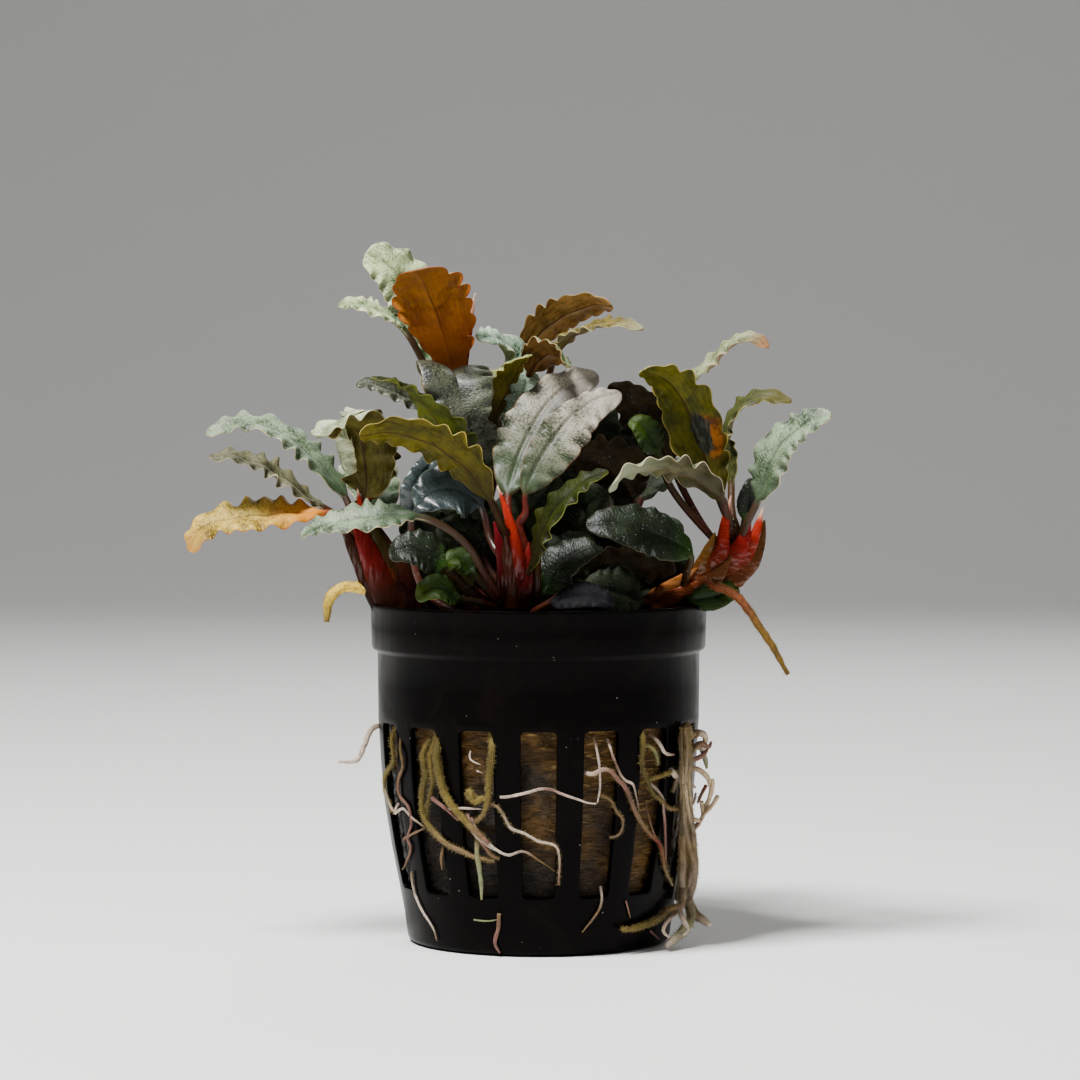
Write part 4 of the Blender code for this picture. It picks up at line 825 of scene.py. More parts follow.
def smooth_path(points, count=300):
    """A smooth line through the points: cubic Hermite spans, with slopes from neighbouring points."""
    p = np.asarray(points, float)
    t = np.concatenate([[0], np.cumsum(np.sqrt(np.linalg.norm(np.diff(p, axis=0), axis=1)))])
    span = np.diff(t)
    slope = np.diff(p, axis=0) / span[:, None]
    m = np.concatenate([slope[:1], slope])
    if len(p) > 2:
        inner = (slope[:-1] * span[1:, None] + slope[1:] * span[:-1, None]) / (span[1:] + span[:-1])[:, None]
        m[1:-1] = inner
        m[0] = 1.5 * slope[0] - 0.5 * m[1]
        m[-1] = 1.5 * slope[-1] - 0.5 * m[-2]
    u = np.linspace(t[0], t[-1], count)
    i = np.clip(np.searchsorted(t, u, side="right") - 1, 0, len(p) - 2)
    h = span[i][:, None]
    s = (u - t[i])[:, None] / h
    line = (2 * s**3 - 3 * s**2 + 1) * p[i] + (s**3 - 2 * s**2 + s) * h * m[i]
    return line + (3 * s**2 - 2 * s**3) * p[i + 1] + (s**3 - s**2) * h * m[i + 1]


def lengths(line):
    """Distance along the line to each of its points."""
    return np.concatenate([[0], np.cumsum(np.linalg.norm(np.diff(line, axis=0), axis=1))])


def points_at(line, distances):
    """Points of the line at the given distances along it."""
    s = lengths(line)
    return np.stack([np.interp(distances, s, line[:, k]) for k in range(3)], axis=1)


def rows_at(values, shares):
    """Rows of values, spaced evenly from 0 to 1, read at each share."""
    even = np.linspace(0, 1, len(values))
    return np.stack([np.interp(shares, even, values[:, k]) for k in range(3)], axis=1)


def ease(value, low=0.0, high=1.0):
    """0 below low, 1 above high, and 3 s^2 - 2 s^3 between them."""
    s = np.clip((np.asarray(value, float) - low) / (high - low), 0, 1)
    return s * s * (3 - 2 * s)


def seed_of(name):
    """A number for a piece's name, the same each run."""
    return sum((i + 1) * ord(letter) for i, letter in enumerate(name)) % 9973


def ripples(points, wave, seed):
    """A lumpy field over points: a sum of sines along five seeded directions, of about this wavelength."""
    random = np.random.default_rng(seed)
    total = np.zeros(points.shape[:-1])
    for _ in range(5):
        direction = unit(random.normal(size=3)) * 2 * np.pi / (wave * random.uniform(0.6, 1.6))
        total = total + np.sin(points @ direction + random.uniform(0, 6.28))
    return total / 5


def closed_faces(rows, around, first=0):
    """Faces of a skin over a grid that is closed around: quads between rows, and a cap at each end."""
    row = np.arange(rows - 1)[:, None] * around + first
    here = np.arange(around)[None]
    after = (here + 1) % around
    quads = np.stack([row + here, row + after, row + after + around, row + here + around], axis=2)
    caps = [list(range(first + around - 1, first - 1, -1))]
    caps.append(list(range(first + (rows - 1) * around, first + rows * around)))
    return quads.reshape(-1, 4).tolist() + caps


class Skin:
    """Closed grids gathered into one mesh, with vector attributes."""

    def __init__(self, *attributes):
        self.points = []
        self.faces = []
        self.values = {name: [] for name in attributes}
        self.count = 0

    def add(self, grid, **attributes):
        """Adds a grid (rows, around, 3). It is turned over where its faces would point inwards."""
        rows, around, _ = grid.shape
        middle = grid.mean(axis=1, keepdims=True)
        spoke = grid - middle
        turn = np.cross(spoke, np.roll(spoke, -1, axis=1)).sum(axis=1)
        ahead = np.gradient(middle[:, 0], axis=0)
        if np.sum(turn * ahead) < 0:
            grid = grid[:, ::-1]
            attributes = {name: value[:, ::-1] for name, value in attributes.items()}
        self.faces += closed_faces(rows, around, self.count)
        self.points.append(grid.reshape(-1, 3))
        for name, value in attributes.items():
            self.values[name].append(np.broadcast_to(value, grid.shape).reshape(-1, 3))
        self.count += rows * around

    def build(self, name, material, replaced=()):
        """The mesh as a piece that rides on the model, at the origin, in metres."""
        mesh = bpy.data.meshes.new(name)
        mesh.from_pydata((np.concatenate(self.points) * MM).tolist(), [], self.faces)
        for key, value in self.values.items():
            data = mesh.attributes.new(key, "FLOAT_VECTOR", "POINT")
            data.data.foreach_set("vector", np.concatenate(value).astype(np.float32).ravel())
        return add_piece(name, mesh, material, replaced)


def show(name, data):
    """A new object in the scene."""
    thing = bpy.data.objects.new(name, data)
    bpy.context.scene.collection.objects.link(thing)
    return thing


def add_piece(name, mesh, material, replaced=()):
    """An object of this mesh that rides on the model and stands for the replaced nodes."""
    mesh.materials.append(material)
    mesh.shade_smooth()
    piece = show(name, mesh)
    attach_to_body(piece, BODY)
    if replaced:
        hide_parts(*replaced)
    return piece


def tube_grid(line, radii, sides, rows, flat=None, facing=None):
    """A tube along a line: at each row an ellipse, centre + radius (cos(angle) across + flat sin(angle) up),
    with the radius read between the given ones, and turned so that up faces the given way."""
    share = np.linspace(0, 1, rows)
    centre = points_at(line, share * lengths(line)[-1])
    radius = np.interp(share, np.linspace(0, 1, len(radii)), radii)
    along = unit(np.gradient(centre, axis=0))
    away = np.broadcast_to(np.asarray((0.0, 1.0, 0.0) if facing is None else facing, float), along.shape)
    across = unit(np.cross(along, away))
    up = np.cross(across, along)
    second = radius * (1.0 if flat is None else np.interp(share, np.linspace(0, 1, len(flat)), flat))
    angle = np.linspace(0, 2 * np.pi, sides, endpoint=False)[None, :, None]
    across = (across * radius[:, None])[:, None]
    up = (up * second[:, None])[:, None]
    return centre[:, None] + (np.cos(angle) * across + np.sin(angle) * up), share


def threads(lines, first, second, radius):
    """Many thin three-sided tubes, from an array of their lines (tubes, rows, 3): the corners of each row
    stand at radius (cos(angle) first + sin(angle) second) from its point."""
    angle = np.linspace(0, 2 * np.pi, 3, endpoint=False)[None, None, :, None]
    ring = np.cos(angle) * first[:, None, None] + np.sin(angle) * second[:, None, None]
    return lines[:, :, None] + ring * radius


def wall_radius(z):
    """Radius of the pot's outer wall at height z."""
    radii, heights = zip(*POT_PROFILE)
    return np.interp(z, heights, radii)


def crown_axis(name):
    return smooth_path(CROWNS[name]["axis"])


def leaf_line(form):
    """The leaf's middle line, from inside its crown to its tip, and the share of it that is stalk."""
    axis = crown_axis(form["crown"])
    start = points_at(axis, [form["attach"] * lengths(axis)[-1]])[0]
    line = smooth_path([start, *form["stalk"], *form["blade"]], 500)
    heel = int(np.argmin(np.linalg.norm(line - np.asarray(form["blade"][0], float), axis=1)))
    along = lengths(line)
    return line, along[heel] / along[-1]


ACROSS = np.array([0.0, 0.045, 0.1, 0.18, 0.29, 0.42, 0.55, 0.67, 0.78, 0.87, 0.94, 0.985, 1.0])
STALK_ROWS = 16
BLADE_ROWS = 84
STALK_HALF_WIDTH = 0.55
TIP_HALF_WIDTH = 0.16
TIP_DROOP = 0.8
CURL_START = 0.5
CURL_SPAN = 0.12


def blade_shape(t, form):
    """The blade's half width as a share of its greatest, from heel to tip: sin(pi t^skew), to a power that
    falls towards the tip, so that the tip is blunter than the heel."""
    power = form["full"] * (1.1 - 0.5 * ease(t, 0.45, 1.0))
    return np.clip(np.sin(np.pi * t ** form["skew"]), 0, None) ** power * (t > 0)


def leaf_grid(name, form, settings):
    """A leaf as a closed grid: along it the rows, around it the upper side from one margin to the other and
    the underside back. With t from heel to tip and v across from margin to margin:

    half width = stalk + (width / 2) sin(pi t^skew)^full, times round lobes cos(phase) near the margin;
    lift = fold sin(3/4 pi |v|) half width + ripple sin(phase) grown from the middle to the margin;
    thickness = even from midrib to margin and thinned to nothing there, with a groove along the middle above
    and a round rib below; the stalk is a lens.
    A side that curls is wider: it turns on an arc about its middle, and runs on straight.
    Returns the grid and its two attributes, (v, t, under) and (across mm, along mm, wave from -1 to 1)."""
    random = np.random.default_rng(seed_of(name))
    line, heel = leaf_line(form)
    u = np.linspace(0, 1, BLADE_ROWS)
    steps = 0.75 * u + 0.25 * np.sin(0.5 * np.pi * u)
    share = np.concatenate([np.linspace(0, heel, STALK_ROWS, endpoint=False), heel + (1 - heel) * steps])
    t = np.clip((share - heel) / (1 - heel), 0, 1)
    total = lengths(line)[-1]
    centre = points_at(line, share * total)
    even = points_at(line, np.linspace(0, total, 240))
    turn = ease((np.linspace(0, 1, 240) - heel) / (1 - heel))[:, None]
    along = unit(np.gradient(even, axis=0))
    top = unit(np.array(form["top"], float)) * (1 - turn) + unit(np.array(form["top_tip"], float)) * turn
    normal = unit(top - along * np.sum(top * along, axis=1, keepdims=True))
    side = unit(rows_at(np.cross(along, normal), share))[:, None]
    normal = unit(rows_at(normal, share))[:, None]

    v = np.concatenate([ACROSS[::-1], -ACROSS[1:], -ACROSS[-2:0:-1], ACROSS[:-1]])[None]
    under = np.concatenate([np.zeros(2 * len(ACROSS) - 1), np.ones(2 * len(ACROSS) - 3)])[None]
    reach = np.abs(v)
    t = t[:, None]
    shape = blade_shape(t, form)
    slim = STALK_HALF_WIDTH * (1 - t) + TIP_HALF_WIDTH * t
    half = slim + (form["width"] / 2 - slim / 2) * shape
    swell = np.clip(np.sin(np.pi * t**0.85), 0, 1) ** 0.5
    count = settings.ripples * (0.75 + 0.25 * (1 - heel) * total / 20)
    phases, heights = [], []
    for _ in range(2):
        swing = random.uniform(0.8, 1.5)
        wobble = swing * np.sin(2 * np.pi * (random.uniform(1.1, 1.9) * t + random.uniform()))
        phases.append(2 * np.pi * (count * t + random.uniform()) + wobble)
        heights.append(0.95 + 0.55 * np.sin(2 * np.pi * (random.uniform(1.5, 2.6) * t + random.uniform())))
    phase = np.where(v > 0, phases[0], phases[1])
    tall = np.where(v > 0, heights[0], heights[1])
    depth = settings.ripple / MM * (0.25 + 1.3 * form["wave"]) * min(1.0, form["width"] / 7) ** 1.5 * tall
    deep = settings.scallop * form["lobe"] * (0.3 + form["wave"])
    lobes = 1 + deep * swell * tall * np.cos(phase - 0.7) * ease(reach, 0.4, 1.0)
    lobes = lobes * np.where(v < 0, form["first"], 1.0)
    lift = form["fold"] * half * shape * np.sin(0.75 * np.pi * reach)
    lift = lift + depth * swell * np.sin(phase) * ease(reach, 0.3, 1.05) ** 1.4
    lift = lift + 0.25 * swell * np.sin(phases[0] * 0.5 + 1.0) * (1 - reach) * form["wave"]
    lift = lift - TIP_DROOP * ease(t, 0.78, 1.0) ** 2
    x = v * half * lobes
    curl = np.where(v > 0, form["curl"], 0.0) * ease(t, 0.08, 0.22) * (1 - ease(t, 0.66, 0.82)) + 1e-6
    angle = curl * np.clip((reach - CURL_START) / CURL_SPAN, 0, 1)
    beyond = np.maximum(reach - CURL_START - CURL_SPAN, 0)
    wide = half * lobes * (1 + 0.18 * curl)
    bend = CURL_SPAN / curl
    out = np.sign(v) * wide * (np.minimum(reach, CURL_START) + bend * np.sin(angle) + beyond * np.cos(curl))
    lift = lift - wide * (bend * (1 - np.cos(angle)) + beyond * np.sin(curl))

    stalk = np.clip(1 - 7 * t, 0, 1)
    lens = np.sqrt(np.clip(1 - reach**2, 0, 1))
    blade = settings.thickness / MM / 2 * np.clip(1 - reach**6, 0, 1) ** 0.5
    thick = blade * (1 - stalk) + stalk * 0.5 * lens
    groove = 0.14 * np.exp(-((x / 0.34) ** 2)) * (1 - stalk) * (1 - 0.5 * t)
    rib = settings.rib / MM * np.exp(-((x / 0.42) ** 2)) * (1 - 0.75 * t) * (1 - stalk)
    layer = np.where(under > 0.5, -thick - rib, thick - groove)
    out = out + np.sign(v) * np.sin(angle) * layer
    height = lift + np.cos(angle) * layer
    grid = centre[:, None] + side * out[:, :, None] + normal * height[:, :, None]
    flat = np.ones_like(x)
    early = np.clip(share / heel, 0, 1)[:, None] - 1
    place = np.stack([v * flat, np.where(t > 0, t, early) * flat, under * flat], axis=2)
    reach_mm = (share[:, None] - heel) * total + random.uniform(0, 90) * flat
    span = np.stack([x, reach_mm, swell * np.sin(phase)], axis=2)
    return grid, place, span


def leaf_material(name, look, settings):
    """A blade's skin. The upper side is silvery over green, with a painted highlight on the margin's crests
    and painted shade in its troughs, with cross wrinkles that have painted shade in their hollows and painted
    sparkle on their grain, arched side veins and a groove. The underside is warmer, with a dark midrib and
    painted shade in the hollows of its wrinkles.
    The margin is thin and pale, and the stalk goes from red to the look's own colour."""
    s = Shading("leaf_" + name)
    across, along, under = s.numbers("leaf_place")
    x, reach, wave = s.numbers("leaf_span")
    edge = abs(across)
    off = abs(x)
    where = s.vector(x, reach, under * 9.0)
    bent = reach - off * 0.6
    cloud = s.noise(where, 0.30, 3.0, 0.6)
    streak = s.noise(s.vector(x * 2.4, bent * 0.5, under * 7.0), 1.1, 3.0, 0.6)
    wrinkle = s.noise(s.vector(x * 1.9, reach * 3.6 - off, under * 5.0), 1.15, 2.0, 0.5)
    arch = (reach - off * 0.85 + off * off * 0.05 + s.noise(where, 0.5) * 0.9) / 2.1
    vein = 1 - s.step(arch.maths("PINGPONG", arch, 0.5), 0.015, 0.13)
    vein = vein * (1 - s.step(edge, 0.75, 0.98)) * s.step(off, 0.3, 0.9) * look["veins"]
    wide = look["groove"]
    groove = s.step(off, 0.0, 0.4 * wide) * (1 - s.step(off, 0.5 * wide, wide)) * s.step(along, 0.0, 0.1)
    rib = 1 - s.step(off, 0.05, 0.30 - s.step(along, 0.0, 1.0) * 0.18)
    fine = look["wrinkle"]

    dark, light = look["top"]
    drawn = look["streak"]
    upper = s.blend(s.step(cloud * 0.65 + streak * drawn + wrinkle * (0.50 - drawn), 0.42, 0.70), dark, light)
    # Painted highlight: the crests of the margin's waves are lighter.
    upper = s.blend(s.step(wave, 0.15, 0.9) * s.step(edge, 0.35, 0.9) * 0.45, upper, light)
    # Painted shade: the troughs of the margin's waves are darker near the margin.
    upper = s.shade(s.step(wave * -1.0, 0.1, 0.8) * s.step(edge, 0.40, 0.90) * look["blotch"], upper, 0.22)
    grain = s.noise(where, 3.4, 1.0)
    # Bright specks where the grain and the wrinkles are high: partly the skin's silvery speck, partly painted
    # sparkle.
    bright = tuple(min(1.3 * part, 0.8) for part in light)
    upper = s.blend(s.step(grain * 0.6 + wrinkle * 0.4, 0.54, 0.62) * 0.5, upper, bright)
    # Painted shade in the hollows of the cross wrinkles.
    upper = s.shade((1 - s.step(wrinkle, 0.36, 0.47)) * 0.55 * fine, upper, 0.45)
    upper = s.shade(vein, upper, 0.35)
    upper = s.shade(groove * (0.85 - along * 0.5), upper, 0.30)
    if look["shadow"]:
        start, stop, share = look["shadow"]
        upper = s.shade(s.step(across + (cloud - 0.5) * 0.8, start, stop) * share, upper, 0.16)
    dark, light = look["under"]
    lower = s.blend(s.step(cloud * 0.6 + streak * 0.5, 0.40, 0.70), dark, light)
    lower = s.shade(vein * 0.8, lower, 0.45)
    # Painted shade in the hollows of the underside's wrinkles.
    lower = s.shade((1 - s.step(wrinkle, 0.34, 0.50)) * 0.30, lower, 0.60)
    lower = s.blend(rib * 0.85, lower, look["rib"])
    blade = s.blend(under, upper, lower)
    if look["heel"]:
        colour, share, extent = look["heel"]
        blade = s.blend((1 - s.step(along, 0.0, extent)) * share, blade, colour)
    if look["tip"]:
        colour, share, extent = look["tip"]
        blade = s.blend(s.step(along, extent, 1.0) * share, blade, colour)
    if look["scar"]:
        v, t, wide, long = look["scar"]
        patchy = s.noise(where, 0.7, 2.0)
        far = ((across - v) / wide) ** 2.0 + ((along - t) / long) ** 2.0 + (patchy - 0.5) * 1.3
        ring = ((across - v + 0.28) / wide) ** 2.0 + ((along - t + 0.04) / long) ** 2.0 + (cloud - 0.5) * 2.2
        burnt = s.blend(s.step(streak, 0.40, 0.66), (0.008, 0.008, 0.005), (0.048, 0.050, 0.032))
        amber = s.blend(s.step(patchy, 0.40, 0.60), (0.10, 0.028, 0.002), (0.32, 0.095, 0.004))
        blade = s.blend((1 - s.step(ring, 0.50, 1.50)) * 0.9, blade, amber)
        blade = s.blend(1 - s.step(far, 0.60, 0.95), blade, burnt)
    margin = s.step(edge, 0.955, 0.99) * (0.25 + 0.75 * s.step(cloud, 0.42, 0.56))
    blade = s.blend(margin, blade, look["margin"])
    stalk = s.blend(s.step(along, -1.0, -0.35), tuple(settings.foot), look["stalk"])
    stalk = s.shade(s.step(streak, 0.45, 0.70) * 0.6, stalk, 0.35)
    colour = s.blend(s.step(along, -0.12, 0.06), stalk, blade)

    roughness = look["roughness"] + streak * 0.14 + under * 0.08
    height = wrinkle * (0.03 + 0.10 * fine) - vein * (1 - under * 2.0) * 0.12 + cloud * 0.14 + grain * 0.03
    # Painted glints of beads of water: light specks, which are also smoother and stand up a little.
    if look["drops"]:
        drop = s.step(s.noise(where, 3.2, 1.0), 0.64, 0.70)
        drop = drop * s.step(s.noise(where, 0.5, 2.0), 0.50, 0.60) * look["drops"]
        colour = s.blend(drop * 0.6, colour, (0.30, 0.33, 0.29))
        roughness = roughness - drop * 0.3
        height = height + drop * 0.12
    return s.finish(colour, roughness, height, 0.8, Coat_Weight=look["coat"], Coat_Roughness=0.25, IOR=1.45,
                    Specular_IOR_Level=look["gloss"], Subsurface_Weight=0.05, Subsurface_Scale=0.0006)


def crown_material(name, settings, brown=0.0, creeping=False):
    """Glossy leaf bases: nearly black red at the foot, crimson and scarlet higher up, each with its stalk's
    own colour at its end, and pale tips on the spikes, all drawn out in fine lines. Old stems and the
    creeping one are browner, with bright straw lines whose brightness is partly painted glints."""
    s = Shading(name)
    along, spike, seed = s.numbers("crown_place")
    tint = s.attribute("crown_tint")
    where = s.place()
    drawn = s.stretched(where, 0.5, 1.6, 1.6) if creeping else s.stretched(where, 1.6, 1.6, 0.28)
    lines = s.noise(drawn, 1.1, 3.0, 0.6)
    patch = s.noise(drawn, 0.38, 2.0, 0.5)
    level = s.node("SeparateXYZ", values=[where], output=2)
    rim = RIM_HEIGHT - 1.0 if creeping else RIM_HEIGHT + 2.0
    high = s.step(along * 0.6 + lines * 0.3 + (level - rim) * 0.045 - 0.20, 0.10, 0.90)
    foot = (0.165, 0.044, 0.010) if creeping else tuple(settings.deep)
    colour = s.blend(high, foot, tuple(settings.bright))
    husk = s.step(patch + seed * 0.2, 0.50, 0.68) * (0.35 + 0.5 * brown)
    colour = s.blend(husk, colour, (0.045, 0.012, 0.004))
    # Bright straw lines on the browner stems: fibres whose brightness is partly painted glints.
    colour = s.blend(s.step(lines, 0.56, 0.68) * 0.6 * brown, colour, (0.26, 0.085, 0.020))
    colour = s.blend(s.step(along, 0.20, 0.75) * s.step(level, rim - 3.0, rim + 4.0), colour, tint)
    colour = s.shade((1 - s.step(lines, 0.34, 0.50)) * 0.55, colour, 0.40)
    colour = s.blend(s.step(spike, 0.10, 0.85) * 0.95, colour, (0.30, 0.016, 0.006))
    colour = s.blend(s.step(spike, 0.90 - 0.25 * brown, 1.0), colour, tuple(settings.tip))
    height = lines * 0.26 + s.noise(where, 2.5, 2.0) * 0.06
    wet = s.step(lines, 0.48, 0.60) * s.step(level, rim - 1.0, rim + 4.0) * 0.5
    return s.finish(colour, 0.42 + patch * 0.22, height, 0.9, Coat_Weight=wet, Coat_Roughness=0.12,
                    Specular_IOR_Level=0.05)


AXIS_STEPS = 60


def sheath_line(crown, line, stalk):
    """From low on the crown's side up to the leaf's own line, along its stalk: the way that a leaf's base
    wraps its crown. Also the way it faces."""
    axis = crown_axis(crown)
    total = lengths(axis)[-1]
    spots = points_at(axis, np.linspace(0, total, AXIS_STEPS))
    near = int(np.argmin(np.linalg.norm(spots - line[0], axis=1)))
    radii = CROWNS[crown]["radii"]
    radius = np.interp(np.arange(AXIS_STEPS) / (AXIS_STEPS - 1), np.linspace(0, 1, len(radii)), radii)
    out = points_at(line, [5.0])[0] - spots[near]
    ahead = unit(np.gradient(spots, axis=0))
    points = []
    for back, share in ((30, 0.45), (15, 0.7)):
        i = max(near - back, 2)
        away = unit(out - ahead[i] * (out @ ahead[i]))
        points.append(spots[i] + away * radius[i] * share)
    reach = min(8.0, 0.85 * stalk)
    on_leaf = points_at(line, [0.3 * reach, 0.65 * reach, reach])
    return smooth_path([*points, *on_leaf]), unit(out - ahead[near] * (out @ ahead[near]))


FINGER_FLATNESS = [0.8, 0.5, 0.4, 0.55]
SHEATH_FLATNESS = [0.5, 0.42, 0.45, 0.55, 0.8, 0.95, 0.95, 0.9]
SPIKE_RADII = [1.05, 1.1, 0.88, 0.58, 0.06]
SPIKE_FLATNESS = [0.8, 0.6]


def add_crown(name, form, leaves, material, settings):
    """A crown: a lobed core, the bases of its leaves laid up its sides, its old leaf bases and its spikes.
    The core's radius is its tube's, times 0.9 + lobes |sin(1.5 angle)| + ripples."""
    skin = Skin("crown_place", "crown_tint")
    seed = seed_of(name)
    red = np.array(tuple(settings.bright))[None, None]
    core, share = tube_grid(crown_axis(name), [*form["radii"][:-1], 0.45 * form["radii"][-1]], 32, 60)
    middle = core.mean(axis=1, keepdims=True)
    turn = np.linspace(0, 2 * np.pi, 32, endpoint=False)[None] + 0.9 * share[:, None]
    folds = 0.90 + 0.07 * np.abs(np.sin(1.5 * turn + seed)) + 0.05 * ripples(core, 5.0, seed)
    core = middle + (core - middle) * folds[:, :, None]
    skin.add(core, crown_place=crown_values(core, 0.7 * share, 0.0, 0.3), crown_tint=red)
    for i, leaf in enumerate(leaves):
        line, heel = leaf_line(leaf)
        line, facing = sheath_line(name, line, heel * lengths(line)[-1])
        width = settings.sheath / MM / 2 * (0.5 + 0.5 * ease(leaf["attach"], 0.2, 0.6))
        width = width * min(1, leaf["width"] / 6)
        radii = [0.5 * width, width, 0.97 * width, 0.85 * width, 0.32 * width + 0.36, 0.58, 0.50, 0.36]
        grid, share = tube_grid(line, radii, 24, 60, SHEATH_FLATNESS, facing)
        values = crown_values(grid, 0.15 + 0.85 * share, 0.0, (i * 0.37) % 1.0)
        skin.add(grid, crown_place=values, crown_tint=np.array(LOOKS[leaf["look"]]["stalk"])[None, None])
    for i, (tint, radii, route) in enumerate(form["fingers"]):
        grid, share = tube_grid(smooth_path(route), radii, 24, 50, FINGER_FLATNESS)
        middle = grid.mean(axis=1, keepdims=True)
        grid = middle + (grid - middle) * (1 + 0.08 * ripples(grid, 3.4, seed + i))[:, :, None]
        values = crown_values(grid, 0.10 + 0.9 * share, 0.0, (0.2 + i * 0.29) % 1.0)
        skin.add(grid, crown_place=values, crown_tint=np.array(tint)[None, None])
    for spike in form["spikes"]:
        grid, share = tube_grid(smooth_path(spike), SPIKE_RADII, 20, 44, SPIKE_FLATNESS)
        skin.add(grid, crown_place=crown_values(grid, 0.4 + 0.3 * share, share, 0.2), crown_tint=red)
    return skin.build(name + "_skin", material, [name])


def crown_values(grid, share, spike, seed):
    """The attribute (share of the way up, share of the way up a spike, seed) over a grid."""
    rows = np.broadcast_to(np.asarray(share, float), (grid.shape[0],))
    up = np.broadcast_to(np.asarray(spike, float), (grid.shape[0],))
    return np.stack([rows, up, np.full(grid.shape[0], seed)], axis=1)[:, None].repeat(grid.shape[1], axis=1)


def pot_cell(corner):
    """One slot's cell of the wall as rings of (angle as a share of the cell's half, height), from the slot's
    outline to the cell's border. The border runs round the unit square. The outline is the slot's rectangle
    with its corners moved onto arcs."""
    across = np.array([*CROSS_STEPS, 1.0])
    up = np.array(UP_STEPS)
    wide, tall = np.ones(len(across) - 1), np.ones(len(up) - 1)
    sides = [(across[:-1], -wide), (tall, up[:-1]), (across[:0:-1], wide), (-tall, up[:0:-1])]
    border = np.concatenate([np.stack(side, axis=1) for side in sides])
    middle = (SLOT_TOP + SLOT_BOTTOM) / 2
    half_width = math.radians(SLOT_PITCH / 2) * SLOT_SHARE * wall_radius(middle)
    half_height = (SLOT_TOP - SLOT_BOTTOM) / 2
    half = np.array([half_width, half_height])
    outline = border * half
    bend = half - corner
    heart = np.clip(outline, -bend, bend)
    outside = np.abs(outline) > bend
    rounded = heart + unit(outline - heart) * corner
    outline = np.where(outside.all(axis=1, keepdims=True), rounded, outline)
    angle = outline[:, 0] / half_width * SLOT_SHARE
    height = middle + outline[:, 1]
    edge = border[:, 1] * np.where(border[:, 1] > 0, CELL_TOP - middle, middle - CELL_BOTTOM)
    rings = [np.stack([angle, height], axis=1)]
    for share in (0.25, 0.6, 1.0):
        ring = np.stack([border[:, 0], middle + edge], axis=1)
        rings.append(rings[0] * (1 - share) + ring * share)
    return np.stack(rings)


def wall_points(angle, height, radius=None):
    """Points of the pot's wall at angles in degrees from the front and heights."""
    turn = np.radians(np.asarray(angle, float) - 90)
    r = wall_radius(height) if radius is None else radius
    return np.stack([r * np.cos(turn), r * np.sin(turn), np.broadcast_to(height, turn.shape)], axis=-1)


def pot_mesh(name, corner):
    """The pot's outer surface: 16 cells with a slot each, the plain wall under and over them, and a floor
    whose slots lie under every second cell. A profile is carried round the axis: radius(height) at each
    column's angle. The wall gets its thickness from a modifier."""
    points, faces = [], []

    def add_grid(grid, open_at=None):
        """Adds a closed grid without the faces that the mask marks, and returns its first point's number."""
        first = sum(map(len, points))
        quads = np.array(closed_faces(*grid.shape[:2], first)[:-2])
        faces.extend((quads if open_at is None else quads[~open_at.ravel()]).tolist())
        points.append(grid.reshape(-1, 3))
        return first

    cell = pot_cell(corner)
    for i in range(SLOTS):
        angle = i * SLOT_PITCH + cell[:, :, 0] * SLOT_PITCH / 2
        add_grid(wall_points(angle, cell[:, :, 1])[::-1])
    columns = np.concatenate([(i + np.array(CROSS_STEPS) / 2) * SLOT_PITCH for i in range(SLOTS)])
    low = [z for _, z in POT_PROFILE if z < CELL_BOTTOM] + [CELL_BOTTOM]
    high = [CELL_TOP] + [z for _, z in POT_PROFILE if z > CELL_TOP]
    for heights in (low, high):
        add_grid(np.stack([wall_points(columns, np.full(len(columns), z)) for z in heights]))
    disc = np.stack([wall_points(columns, np.zeros(len(columns)), r) for r in FLOOR_RINGS])
    ring, column = np.indices((len(FLOOR_RINGS) - 1, len(columns)))
    under_cell, place = np.divmod(column, len(CROSS_STEPS))
    in_slot = (ring >= 1) & (ring <= 3) & (under_cell % 2 == 0) & (place >= 3) & (place <= 4)
    hub = add_grid(disc, in_slot)
    centre = hub + len(FLOOR_RINGS) * len(columns)
    points.append(np.zeros((1, 3)))
    faces.extend((centre, hub + (k + 1) % len(columns), hub + k) for k in range(len(columns)))
    mesh = bpy.data.meshes.new(name)
    mesh.from_pydata((np.concatenate(points) * MM).tolist(), [], faces)
    return mesh


def turn_outwards(mesh):
    """Merges a mesh's doubles and makes its faces point outwards."""
    shape = bmesh.new()
    shape.from_mesh(mesh)
    bmesh.ops.remove_doubles(shape, verts=shape.verts, dist=1e-6)
    bmesh.ops.recalc_face_normals(shape, faces=shape.faces)
    shape.to_mesh(mesh)
    shape.free()


